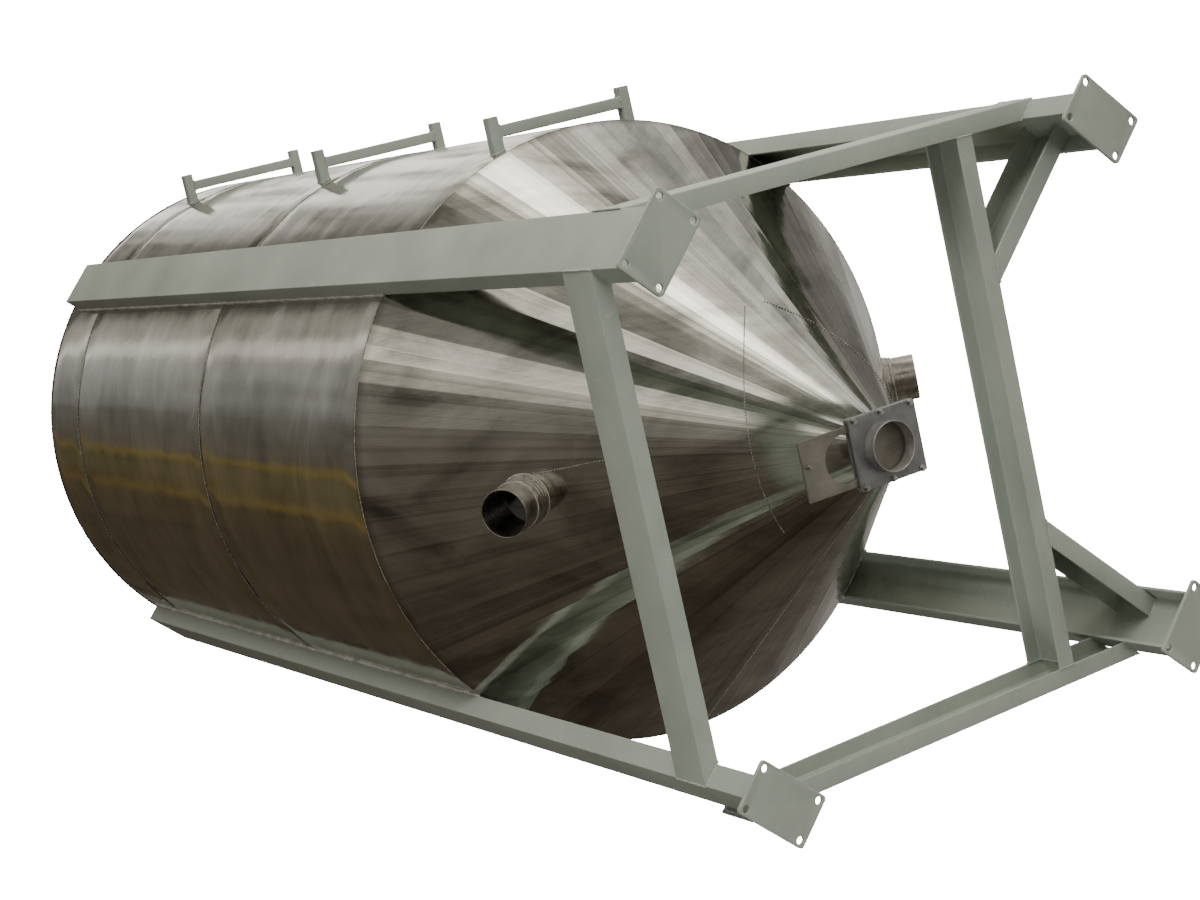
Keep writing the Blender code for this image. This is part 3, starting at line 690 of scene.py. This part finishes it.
def nozzle_cutter(side):
    """A rod that cuts the nozzle's hole in the cone."""
    bm = bmesh.new()
    radius = NOZZLE_RADIUS + GAP
    bmesh.ops.create_cone(bm, cap_ends=True, segments=64, radius1=radius, radius2=radius, depth=0.1)
    mesh = bpy.data.meshes.new("nozzle_hole")
    bm.to_mesh(mesh)
    bm.free()
    cutter = bpy.data.objects.new(f"nozzle_hole_{side}", mesh)
    bpy.context.scene.collection.objects.link(cutter)
    cutter.matrix_world = nozzle_place(side)
    return cutter


def make_sheets():
    """Shell courses, cone bottom and roof."""
    radius = SHELL_RADIUS - SHEET_INSET
    edges = SEAM_HEIGHTS + [SHELL_TOP_Z]
    courses = (("lower", 48, 1.0), ("middle", 48, 4.3), ("top", 16, 9.1))
    for number, (course, rows, seed) in enumerate(courses):
        sheet_ring(
            f"shell_{course}", (f"shell_{course}_front", f"shell_{course}_back"), (radius, radius),
            edges[number:number + 2], rows, seed,
        )
    cutters = [nozzle_cutter(side) for side in NOZZLE_AZIMUTHS]
    bpy.context.view_layer.update()
    sheet_ring(
        "cone_bottom", ("cone_front", "cone_back"), (CONE_FOOT_RADIUS, radius), (CONE_FOOT_Z, CONE_TOP_Z),
        rows=36, seed=2.7, material=CONE_STEEL, wall=0.004, columns=BRAKE_BENDS * 4 + 1, bends=BRAKE_BENDS,
        uneven=2.0, error=0.0024, waviness=0.0014, wave_scale=2.4, pull=0.002, cutters=cutters,
    )
    for cutter in cutters:
        bpy.data.objects.remove(cutter)
    # The roof's upper face starts a sheet's thickness above its foot
    sheet_ring(
        "roof", ("roof_cone",), (radius, ROOF_HOLE_RADIUS), (ROOF_FOOT_Z + 0.0032, ROOF_HOLE_Z - 0.0001),
        rows=16, seed=6.2, waviness=0.002, wave_scale=2.0, pull=0.0,
    )
    low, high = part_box("roof_crown")
    under = high.z - CROWN_THICKNESS
    inner = ROOF_HOLE_RADIUS - CROWN_THICKNESS
    profile = [
        (0.0005, high.z), (CROWN_RADIUS - 0.002, high.z), (CROWN_RADIUS, high.z - 0.002),
        (CROWN_RADIUS, under + 0.001), (CROWN_RADIUS - 0.001, under), (ROOF_HOLE_RADIUS, under),
        (ROOF_HOLE_RADIUS, low.z), (inner, low.z), (inner, under), (0.0005, under),
    ]
    piece_from(
        "roof_crown_plate", lambda bm: skin(bm, [circle_points(r, z, 96) for r, z in profile]),
        SHELL_STEEL, "stainless_sheet", replaces=("roof_crown",),
    )


def channel_outline(depth, flange, web, lip, hard=0.003, soft=0.009):
    """A rolled channel's section, web's outer face at X = 0, with rounded heels, toes and roots."""
    half = depth / 2
    inner = half - lip
    return rounded([
        (0.0, -half, hard), (0.0, half, hard), (-flange, half, 0.0015), (-flange, inner, hard),
        (-web, inner, soft), (-web, -inner, soft), (-flange, -inner, hard), (-flange, -half, 0.0015),
    ])


PAINTED_JOINTS = []


def channel(name, place, outline, start, end, start_slope=0.0, end_slope=0.0, welded_end=True, steps=8):
    """A rolled channel along its frame's Z. A slope moves an end by slope times X, as a mitre."""
    def ring_at(share):
        ring = []
        for p in outline:
            low, high = start + start_slope * p.x, end + end_slope * p.x
            ring.append(place @ Vector((p.x, p.y, low * (1 - share) + high * share)))
        return ring

    PAINTED_JOINTS.append((ring_at(0.0), True))
    if welded_end:
        PAINTED_JOINTS.append((ring_at(1.0), True))
    return piece_from(
        name + "_channel", lambda bm: skin(bm, [ring_at(k / steps) for k in range(steps + 1)]), ENAMEL,
        "frame_paint", replaces=(name,),
    )


def make_frame_channels():
    """Four legs, the braces between them, and the two knees out from the back brace."""
    leg_outline = channel_outline(LEG_DEPTH, LEG_FLANGE, LEG_WEB, LEG_LIP)
    for leg, azimuth in LEG_AZIMUTHS.items():
        outwards = outwards_at(azimuth)
        place = turn_frame(outwards * LEG_WEB_DISTANCE, outwards, (0.0, 0.0, 1.0))
        channel(f"leg_{leg}", place, leg_outline, LEG_FOOT_Z, LEG_TOP_Z, welded_end=False)
    brace_outline = channel_outline(BRACE_DEPTH, BRACE_FLANGE, BRACE_WEB, BRACE_LIP)
    reach = LEG_DEPTH / 2 * math.sqrt(2)
    for name, (azimuth, distance) in BRACE_DISTANCES.items():
        outwards = outwards_at(azimuth)
        along = Vector((0.0, 0.0, 1.0)).cross(outwards)
        origin = outwards * distance + Vector((0.0, 0.0, BRACE_MIDDLE_Z))
        half_length = distance - reach - GAP * math.sqrt(2)
        channel(
            f"brace_{name}", turn_frame(origin, outwards, along), brace_outline, -half_length, half_length,
            -1.0, 1.0,
        )
    left_end = -(BRACE_DISTANCES["left"][1] - BRACE_FLANGE - GAP)
    right_end = BRACE_DISTANCES["right"][1] - BRACE_FLANGE - GAP
    place = turn_frame((0.0, BACK_BRACE_Y, BRACE_MIDDLE_Z), (0.0, 1.0, 0.0), (1.0, 0.0, 0.0))
    channel("brace_back", place, brace_outline, left_end, right_end)
    knee_outline = channel_outline(BRACE_DEPTH, KNEE_FLANGE, BRACE_WEB, BRACE_LIP)
    start = (BACK_BRACE_Y + GAP) * math.sqrt(2) - KNEE_WEB_OFFSET
    end = LEG_WEB_DISTANCE - LEG_WEB - GAP
    for leg, sign in (("c", 1), ("d", -1)):
        along = outwards_at(LEG_AZIMUTHS[leg])
        outwards = Vector((-along.y, along.x, 0.0)) * sign
        origin = outwards * KNEE_WEB_OFFSET + Vector((0.0, 0.0, BRACE_MIDDLE_Z))
        channel(f"knee_{leg}", turn_frame(origin, outwards, along), knee_outline, start, end, -1.0, 0.0)


def plate(name, outline, holes, low_z, high_z, edge, place, material, slot, **more):
    """A flat plate from an outline and round (x, y, radius) holes, its edges eased by edge."""
    curve = bpy.data.curves.new(name, "CURVE")
    curve.dimensions = "2D"
    curve.fill_mode = "BOTH"
    curve.extrude = (high_z - low_z) / 2 - edge
    curve.bevel_depth = edge
    curve.bevel_resolution = 2
    curve.offset = -edge
    rims = [[(p.x, p.y) for p in outline]]
    for x, y, radius in holes:
        rims.append([(x + p.x, y + p.y) for p in circle_points(radius, 0.0, 64)])
    for rim in rims:
        spline = curve.splines.new("POLY")
        spline.points.add(len(rim) - 1)
        spline.use_cyclic_u = True
        for point, (x, y) in zip(spline.points, rim):
            point.co = (x, y, 0.0, 1.0)
    obj = bpy.data.objects.new(name + "_outline", curve)
    bpy.context.scene.collection.objects.link(obj)
    mesh = baked(obj)
    mesh.transform(place @ Matrix.Translation((0.0, 0.0, (low_z + high_z) / 2)))
    bm = bmesh.new()
    bm.from_mesh(mesh)
    bmesh.ops.remove_doubles(bm, verts=bm.verts, dist=0.00001)
    bmesh.ops.recalc_face_normals(bm, faces=bm.faces)
    bm.to_mesh(mesh)
    bm.free()
    return add_piece(name, mesh, material, slot, **more)


def rectangle(low_x, low_y, high_x, high_y, radius):
    """A rectangle's outline with rounded corners."""
    corners = ((low_x, low_y), (high_x, low_y), (high_x, high_y), (low_x, high_y))
    return rounded([(x, y, radius) for x, y in corners])


def make_foot_plates():
    """A plate under each leg, with four bolt holes."""
    half_w, half_l = PLATE_WIDTH / 2, PLATE_LENGTH / 2
    outline = rectangle(-half_w, -half_l, half_w, half_l, PLATE_CORNER)
    holes = [
        (side * (half_w - PLATE_HOLE_INSET), end * (half_l - PLATE_HOLE_INSET), PLATE_HOLE)
        for side in (-1, 1) for end in (-1, 1)
    ]
    for leg, azimuth in LEG_AZIMUTHS.items():
        outwards = outwards_at(azimuth)
        place = turn_frame(outwards * PLATE_DISTANCE, outwards, (0.0, 0.0, 1.0))
        plate(
            f"foot_plate_{leg}_steel", outline, holes, 0.0, PLATE_THICKNESS, 0.0012, place, ENAMEL,
            "frame_paint", replaces=(f"foot_plate_{leg}",),
        )


def make_brackets():
    """Three stand-off brackets: two square tube posts with closed ends, scribed to the shell, and a bar."""
    half = TUBE_SIZE / 2
    bore = half - TUBE_WALL
    face = half - 0.001
    outer = rectangle(-half, -half, half, half, TUBE_CORNER)
    inner = rectangle(-bore, -bore, bore, bore, TUBE_CORNER - TUBE_WALL)
    end_face = rectangle(-face, -face, face, face, TUBE_CORNER - 0.001)
    for level in ("top", "middle", "lower"):
        for side in ("front", "back"):
            name = f"bracket_{level}_post_{side}"
            low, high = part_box(name)
            y, z = (low.y + high.y) / 2, (low.z + high.z) / 2

            def ring_at(outline, x):
                return [Vector((x, y + p.x, z + p.y)) for p in outline]

            def foot_ring(outline, sunk):
                """The outline where it meets a cylinder sunk a little under the shell's face."""
                radius = SHELL_RADIUS - sunk
                return [Vector((math.sqrt(radius**2 - (y + p.x) ** 2), y + p.x, z + p.y)) for p in outline]

            rings = [
                ring_at(inner, high.x - TUBE_WALL), foot_ring(inner, SHEET_INSET),
                foot_ring(outer, SHEET_INSET), ring_at(outer, high.x - 0.0008), ring_at(end_face, high.x),
            ]
            piece_from(name + "_tube", lambda bm: skin(bm, rings), ENAMEL, "frame_paint", replaces=(name,))
            PAINTED_JOINTS.append((foot_ring(outer, 0.002), True))
        name = f"bracket_{level}_bar"
        low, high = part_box(name)
        x, z = (low.x + high.x) / 2, (low.z + high.z) / 2
        ends = [
            [Vector((x + p.x, end, z + p.y)) for p in outline]
            for outline, end in ((outer, low.y), (outer, high.y), (inner, high.y), (inner, low.y))
        ]
        piece_from(
            name + "_tube", lambda bm: skin(bm, ends, closed=True), ENAMEL, "frame_paint", replaces=(name,)
        )
        PAINTED_JOINTS.append((ends[0], True))
        PAINTED_JOINTS.append((ends[1], True))


def cone_drop(place, x, y):
    """How far along the nozzle's axis the cone's outer face lies under the point (x, y) of its frame."""
    low, high = -0.12, 0.03
    for _ in range(40):
        middle = (low + high) / 2
        point = place @ Vector((x, y, middle))
        outside = math.hypot(point.x, point.y) > CONE_FOOT_RADIUS + CONE_SPREAD * (point.z - CONE_FOOT_Z)
        low, high = (low, middle) if outside else (middle, high)
    return low


def cone_ring(place, radius, sunk):
    """A ring round the nozzle that follows the cone's face, sunk a little into it."""
    ring = []
    for p in circle_points(radius, 0.0, NOZZLE_STEPS):
        ring.append(place @ Vector((p.x, p.y, cone_drop(place, p.x, p.y) - sunk)))
    return ring


def make_nozzles():
    """Each nozzle's pipe end, and its neck: a collar with a wider welded foot and two fine grooves."""
    lip = 0.0008
    bore = NOZZLE_RADIUS - NOZZLE_WALL
    clear = NOZZLE_RADIUS + GAP
    for side, out in NOZZLE_OUT.items():
        place = nozzle_place(side)
        pipe = [
            (NOZZLE_RADIUS, -NOZZLE_IN), (NOZZLE_RADIUS, out - lip), (NOZZLE_RADIUS - lip, out),
            (bore + lip, out), (bore, out - lip), (bore, -NOZZLE_IN),
        ]
        pipe_rings = [circle_points(r, z, NOZZLE_STEPS, place) for r, z in pipe]
        piece_from(
            f"nozzle_{side}_pipe_end", lambda bm: skin(bm, pipe_rings, closed=True),
            PIPE_STEEL, "stainless_pipe", replaces=(f"nozzle_{side}_pipe",),
        )
        top = COLLAR_LENGTH[side]
        neck = [
            (COLLAR_FOOT_RADIUS, 0.004), (COLLAR_FOOT_RADIUS - 0.0007, 0.0068),
            (COLLAR_RADIUS + 0.0006, 0.008), (COLLAR_RADIUS, 0.010),
        ]
        for share in (0.36, 0.62):
            middle = top * share
            floor = COLLAR_RADIUS - GROOVE_DEPTH
            neck += [
                (COLLAR_RADIUS, middle - GROOVE_WIDTH / 2), (floor, middle - 0.0010),
                (floor, middle + 0.0010), (COLLAR_RADIUS, middle + GROOVE_WIDTH / 2),
            ]
        neck += [
            (COLLAR_RADIUS, top - 0.0016), (COLLAR_RADIUS - 0.0005, top - 0.0005),
            (COLLAR_RADIUS - 0.0016, top), (clear, top),
        ]
        neck_rings = [cone_ring(place, clear, 0.005), cone_ring(place, COLLAR_FOOT_RADIUS, 0.005)]
        neck_rings += [circle_points(r, z, NOZZLE_STEPS, place) for r, z in neck]
        piece_from(
            f"nozzle_{side}_neck", lambda bm: skin(bm, neck_rings, closed=True),
            PIPE_STEEL, "stainless_pipe", replaces=(f"nozzle_{side}_collar",),
        )


def gate_plate(name, suffix, corner, edge, holes=(), material=PLATE_STEEL, **more):
    """A plate of the gate that fills its CAD box."""
    low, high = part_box(name)
    plate(
        name + suffix, rectangle(low.x, low.y, high.x, high.y, corner), holes, low.z, high.z, edge,
        Matrix.Identity(4), material, "gate_plate", replaces=(name,), **more,
    )


def bolt_set(name, places, radius, height, grip, stud, seed, **more):
    """Bolts, or a screw, that hang down from the places."""
    points = bpy.data.meshes.new(name + "_places")
    points.from_pydata(places, [], [])
    mesh = grow(name, points, BOLT_TREE, {
        "Head Radius": radius, "Head Height": height, "Grip": grip, "Stud": stud, "Seed": seed,
        "Material": ZINC_STEEL,
    })
    add_piece(name, mesh, ZINC_STEEL, "bright_pin", sharp=30, **more)


def make_gate():
    """The gate's two flanges, its packers, the blade with its stop screw, the spout and the bolts."""
    for name in ("gate_lower_flange", "gate_upper_flange"):
        gate_plate(name, "_plate", corner=0.006, edge=0.0010, holes=[(0.0, 0.0, BORE_RADIUS)])
    for name in ("gate_packer_left", "gate_packer_right"):
        gate_plate(name, "_strip", corner=0.001, edge=0.0006)
    gate_plate(
        "gate_blade", "_plate", corner=0.003, edge=0.0007, holes=[(0.0, BLADE_HOLE_Y, BORE_RADIUS)],
        material=BLADE_STEEL, body="blade",
    )
    low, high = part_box("outlet_spout")
    lip = 0.0012
    profile = [
        (SPOUT_RADIUS, high.z), (SPOUT_RADIUS, low.z + 0.009), (SPOUT_RIM_RADIUS, low.z + 0.006),
        (SPOUT_RIM_RADIUS, low.z + lip), (SPOUT_RIM_RADIUS - lip, low.z), (BORE_RADIUS + lip, low.z),
        (BORE_RADIUS, low.z + lip), (BORE_RADIUS, high.z),
    ]
    piece_from(
        "outlet_spout_pipe", lambda bm: skin(bm, [circle_points(r, z, 96) for r, z in profile], closed=True),
        SPOUT_STEEL, "gate_plate", replaces=("outlet_spout",),
    )
    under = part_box("gate_lower_flange")[0].z
    bolt_set(
        "gate_bolts", [(x, y, under) for x in BOLT_XS for y in BOLT_YS], radius=0.0088, height=0.0070,
        grip=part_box("gate_upper_flange")[1].z - under, stud=0.012, seed=3,
    )
    bolt_set(
        "blade_stop_screw", [(SCREW_X, SCREW_Y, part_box("blade_pin")[1].z)], radius=0.0062, height=0.0094,
        grip=0.0062, stud=0.0005, seed=5, replaces=("blade_pin",), body="blade",
    )


def weld(name, paths, material, slot, pitch, width, length, wander, seed):
    """Weld beads along (points, closed) paths, as one piece: ripples of a width and length, a pitch apart.

    Wander is how far a ripple strays from the path.
    """
    curve = bpy.data.curves.new(name + "_paths", "CURVE")
    curve.dimensions = "3D"
    for points, closed in paths:
        spline = curve.splines.new("POLY")
        spline.points.add(len(points) - 1)
        spline.use_cyclic_u = closed
        for target, point in zip(spline.points, points):
            target.co = (*point, 1.0)
    mesh = grow(name, curve, WELD_TREE, {
        "Pitch": pitch, "Width": width, "Length": length, "Wander": wander, "Seed": seed,
        "Material": material,
    })
    return add_piece(name, mesh, material, slot, sharp=80)


def on_cone(radius, degrees):
    """The point of the cone's outer face at a radius and a turn."""
    height = CONE_FOOT_Z + (radius - CONE_FOOT_RADIUS) / CONE_SPREAD
    return outwards_at(degrees) * radius + Vector((0.0, 0.0, height))


def make_welds():
    """The beads of every welded joint. Those on the shell's seams stay under its CAD face."""
    crest = SHELL_RADIUS - 0.0030
    seams = [(circle_points(crest, z, 192), True) for z in (*SEAM_HEIGHTS, SHELL_TOP_Z)]
    weld(
        "shell_seam_welds", seams, SEAM_STEEL, "stainless_sheet",
        pitch=0.0085, width=0.0034, length=0.012, wander=0.0003, seed=2,
    )
    foot, rim, eaves = CONE_FOOT_RADIUS - 0.002, crest - 0.004, crest - 0.006
    lengths = []
    for x in (-1, 1):
        lengths.append(([(x * crest, 0.0, SEAM_HEIGHTS[0]), (x * crest, 0.0, SHELL_TOP_Z)], False))
        lengths.append(([(x * foot, 0.0, CONE_FOOT_Z), (x * rim, 0.0, CONE_TOP_Z - 0.004)], False))
        lengths.append((
            [(x * eaves, 0.0, SHELL_TOP_Z + 0.004), (x * ROOF_HOLE_RADIUS, 0.0, ROOF_HOLE_Z)], False
        ))
    weld(
        "sheet_length_welds", lengths, WELD_STEEL, "stainless_sheet",
        pitch=0.0075, width=0.0034, length=0.010, wander=0.0003, seed=3,
    )
    patches = []
    for side in (1, -1):
        line = []
        for k in range(PATCH_STEPS):
            degrees = PATCH_START + (PATCH_END - PATCH_START) * k / (PATCH_STEPS - 1)
            flat_turn = math.radians((degrees - PATCH_MIDDLE) * PATCH_SQUEEZE)
            line.append(on_cone(PATCH_RADIUS / math.cos(flat_turn) - 0.0012, side * degrees))
        patches.append((line, False))
    patches.append(([on_cone(radius, degrees) for radius, degrees in PATCH_TAIL], False))
    weld(
        "cone_patch_welds", patches, SEAM_STEEL, "stainless_sheet",
        pitch=0.0100, width=0.0042, length=0.0075, wander=0.0003, seed=8,
    )
    tips = []
    for azimuth in LEG_AZIMUTHS.values():
        outwards = outwards_at(azimuth)
        sideways = Vector((-outwards.y, outwards.x, 0.0))
        for side in (-1, 1):
            tip = outwards * (LEG_WEB_DISTANCE - LEG_FLANGE - 0.001)
            tip += sideways * side * (LEG_DEPTH / 2 + 0.001)
            tips.append(([tip + Vector((0, 0, CONE_TOP_Z)), tip + Vector((0, 0, LEG_TOP_Z))], False))
    weld(
        "leg_to_shell_welds", tips, WELD_STEEL, "stainless_sheet",
        pitch=0.010, width=0.0150, length=0.019, wander=0.0014, seed=4,
    )
    weld(
        "painted_joint_welds", PAINTED_JOINTS, ENAMEL, "frame_paint",
        pitch=0.0075, width=0.0065, length=0.0115, wander=0.0006, seed=7,
    )
    collars = []
    for side, length in COLLAR_LENGTH.items():
        place = nozzle_place(side)
        collars.append((cone_ring(place, COLLAR_FOOT_RADIUS, 0.0005), True))
        collars.append((circle_points(NOZZLE_RADIUS + 0.0006, length, NOZZLE_STEPS, place), True))
    weld(
        "nozzle_welds", collars, WELD_STEEL, "stainless_pipe",
        pitch=0.004, width=0.0036, length=0.006, wander=0.0002, seed=5,
    )
    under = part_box("gate_lower_flange")[0].z
    gate = [
        (circle_points(SPOUT_RADIUS + 0.001, under - 0.0005, 96), True),
        (circle_points(CONE_FOOT_RADIUS + 0.001, CONE_FOOT_Z + 0.001, 96), True),
    ]
    weld(
        "gate_welds", gate, PLATE_STEEL, "gate_plate",
        pitch=0.0030, width=0.0046, length=0.006, wander=0.0001, seed=6,
    )


def make_stage():
    """A pale floor that shows from above and lets a camera below it look through, under plain soft light."""
    bm = bmesh.new()
    bmesh.ops.create_circle(bm, cap_ends=True, segments=96, radius=40.0)
    mesh = bpy.data.meshes.new("floor")
    bm.to_mesh(mesh)
    bm.free()
    floor = bpy.data.objects.new("floor", mesh)
    floor.location = (0.0, 0.0, -0.0005)
    bpy.context.scene.collection.objects.link(floor)
    material = bpy.data.materials.new("pale_studio_floor")
    material.use_nodes = True
    tree = material.node_tree
    tree.nodes.clear()
    lit = put(tree, "ShaderNodeBsdfDiffuse", (linear("DCDBD8"),))[0]
    glow = put(tree, "ShaderNodeEmission", (linear("FFFFFF"), 1.6))[0]
    paper = put(tree, "ShaderNodeAddShader", (lit, glow))[0]
    nothing = put(tree, "ShaderNodeBsdfTransparent")[0]
    below = put(tree, "ShaderNodeNewGeometry")["Backfacing"]
    above = put(tree, MATH, (1.0, below), operation="SUBTRACT")[0]
    seen = put(tree, "ShaderNodeLightPath")["Is Camera Ray"]
    shown = put(tree, MATH, (above, seen), operation="MULTIPLY")[0]
    place = put(tree, "ShaderNodeTexCoord")["Object"]
    distance = put(tree, "ShaderNodeVectorMath", (place,), operation="LENGTH")["Value"]
    fade = put(tree, RANGE, (distance, 5.0, 16.0, 1.0, 0.0), interpolation_type="SMOOTHSTEP")[0]
    solid = put(tree, MATH, (shown, fade), operation="MULTIPLY")[0]
    mixed = put(tree, "ShaderNodeMixShader", (solid, nothing, paper))[0]
    put(tree, "ShaderNodeOutputMaterial", {"Surface": mixed})
    mesh.materials.append(material)


def make_world():
    """Soft studio light for a bright metal, given by the turn about Z in degrees from +X.

    Pale rippled panels stand round the +X side, below a lit ceiling that is crossed by slats. The -X side
    is a dark warm room. Two narrow ochre lines cross the ceiling at the front, a dim glow fills the back,
    and a small bright lamp shines from +X.
    """
    world = bpy.data.worlds.new("studio")
    bpy.context.scene.world = world
    world.use_nodes = True
    tree = world.node_tree
    tree.nodes.clear()
    direction = put(tree, "ShaderNodeTexCoord")["Generated"]
    x, y, z = put(tree, "ShaderNodeSeparateXYZ", (direction,))
    turn = put(tree, MATH, (y, x), operation="ARCTAN2")[0]
    share = put(tree, RANGE, (turn, -math.pi, math.pi))[0]
    panels = [
        (-180, "2C2620"), (-120, "3A342E"), (-84, "46413B"), (-77, "4E4A45"), (-71, "5F5C57"),
        (-62, "66635E"), (-60, "A9A59D"), (-57, "8F8B84"), (-55, "DCD8CE"), (-52, "D6D2C8"),
        (-49, "8D8A84"), (-46, "5F5C58"), (-36, "454340"), (-30, "514F4C"), (-28, "CDC9C0"),
        (-21, "E6E1D6"), (-19, "6A6762"), (-9, "77746E"), (-3, "B2ADA5"), (0, "FFF9EE"),
        (15, "FFFAEF"), (18, "B4B0A8"), (22, "A8A49D"), (32, "BFBCB6"), (38, "B4B1AC"),
        (45, "7F7E7B"), (52, "B0AEA8"), (59, "72706D"), (72, "4E4B49"), (95, "5A5855"),
        (130, "3D3934"), (180, "2C2620"),
    ]
    ceiling = [
        (-180, "302920"), (-135, "322B22"), (-117, "393126"), (-115, "5A4C26"), (-113, "423A29"),
        (-99, "423C2D"), (-97, "625328"), (-95, "433E37"), (-84, "46433E"), (-76, "4E4C48"),
        (-74, "605F5C"), (-63, "6B6A67"), (-54, "767572"), (-49, "807E7A"), (-47, "AFACA6"),
        (-42, "A7A49E"), (-40, "7F7C76"), (-30, "77746E"), (-26, "3F3C38"), (0, "4A4743"),
        (12, "5E5B57"), (20, "87847F"), (27, "A5A39E"), (37, "DEDCD4"), (60, "EFECE4"),
        (84, "CDCBC3"), (95, "9A9893"), (105, "8A8883"), (140, "605E5A"), (170, "38322B"),
        (180, "302920"),
    ]
    ripple = put(tree, NOISE, {"Vector": direction, "Scale": 12.0, "Detail": 4.0, "Roughness": 0.62})[0]
    slats_at = put(tree, "ShaderNodeMapping", {
        "Vector": direction, "Rotation": (0.0, 0.0, 0.5), "Scale": (24.0, 28.0, 8.0),
    })[0]
    slats = put(tree, NOISE, {"Vector": slats_at, "Scale": 1.0, "Detail": 3.0})[0]
    ripple_stops = [(0.38, "9A9A9A"), (0.47, "F0F0F0"), (0.58, "FFFFFF")]
    slat_stops = [(0.38, "7C7A77"), (0.47, "D2D0CC"), (0.56, "FFFFFF")]
    # The slats over the bright side are the strong ones
    slatted = put(tree, RANGE, (turn, -0.35, 0.15, 0.3, 1.0))[0]
    levels = []
    for stops, pattern, pattern_stops, depth in (
        (panels, ripple, ripple_stops, 1.0), (ceiling, slats, slat_stops, slatted),
    ):
        around = [(0.5 + degrees / 360, colour) for degrees, colour in stops]
        part = put(tree, RAMP, (share,), stops=around)[0]
        light = put(tree, RAMP, (pattern,), stops=pattern_stops)[0]
        levels.append(put(
            tree, MIX, {0: depth, 6: part, 7: light}, data_type="RGBA", blend_type="MULTIPLY"
        )[2])
    overhead = put(tree, RANGE, (z, 0.60, 0.80))[0]
    room = put(tree, MIX, {0: overhead, 6: levels[0], 7: levels[1]}, data_type="RGBA")[2]
    for centre, inner, outer, colour in (
        ((-0.35, 0.90, -0.25), 0.90, 0.75, "8E8C88"),
        ((0.985, 0.16, 0.05), 0.9985, 0.990, "FFFAF0"),
    ):
        facing = put(
            tree, "ShaderNodeVectorMath", (direction, Vector(centre).normalized()), operation="DOT_PRODUCT"
        )["Value"]
        inside = put(tree, RANGE, (facing, outer, inner), interpolation_type="SMOOTHSTEP")[0]
        room = put(
            tree, MIX, {0: inside, 6: room, 7: linear(colour)}, data_type="RGBA", blend_type="ADD"
        )[2]
    lighting = put(tree, "ShaderNodeBackground", {"Color": room, "Strength": 2.5})[0]
    backdrop = put(tree, "ShaderNodeBackground", {"Color": linear("FFFFFF"), "Strength": 18.0})[0]
    seen = put(tree, "ShaderNodeLightPath")["Is Camera Ray"]
    mixed = put(tree, "ShaderNodeMixShader", (seen, lighting, backdrop))[0]
    put(tree, "ShaderNodeOutputWorld", {"Surface": mixed})


def make_lights():
    """Soft boxes: a key on the +X side, one over the roof, a low one in front and one behind.

    A faint one inside the silo shows the bores of the nozzles. Only that one shows in polished metal.
    """
    for name, place, aim, size, power in (
        ("key_softbox", (7.0, -3.3, -2.1), (0.0, 0.0, 1.5), 3.5, 400.0),
        ("top_softbox", (4.0, 6.0, 8.5), (0.0, 0.0, 4.5), 3.0, 500.0),
        ("low_softbox", (-3.2, -5.0, -2.6), (-0.6, 0.0, 1.0), 2.0, 110.0),
        ("back_softbox", (-5.0, 8.5, -1.0), (0.0, 0.0, 3.0), 3.5, 350.0),
        ("inside_glow", (0.0, 0.0, 4.9), (0.0, 0.0, 0.0), 1.5, 0.35),
    ):
        data = bpy.data.lights.new(name, "AREA")
        data.energy = power
        data.size = size
        lamp = bpy.data.objects.new(name, data)
        lamp.visible_glossy = name == "inside_glow"
        facing = Vector(aim) - Vector(place)
        lamp.matrix_world = Matrix.Translation(place) @ facing.to_track_quat("-Z", "Y").to_matrix().to_4x4()
        bpy.context.scene.collection.objects.link(lamp)


def make_camera():
    """The photograph's camera, below the silo's foot and in front of it, with +X up in the picture."""
    location = Vector((1.338, -4.005, -5.256))
    forward = Vector((-0.168, 0.474, 0.864)).normalized()
    right = Vector((-0.218, 0.837, -0.501))
    right = (right - forward * right.dot(forward)).normalized()
    down = forward.cross(right)
    data = bpy.data.cameras.new("camera")
    data.lens = 69.11
    data.sensor_width = 36.0
    data.clip_start = 0.05
    data.clip_end = 100.0
    camera = bpy.data.objects.new("camera", data)
    turn = Matrix((right, -down, -forward)).transposed().to_4x4()
    camera.matrix_world = Matrix.Translation(location) @ turn
    bpy.context.scene.collection.objects.link(camera)
    bpy.context.scene.camera = camera


make_camera()
make_stage()
make_world()
make_lights()
make_sheets()
make_frame_channels()
make_foot_plates()
make_brackets()
make_nozzles()
make_gate()
make_welds()
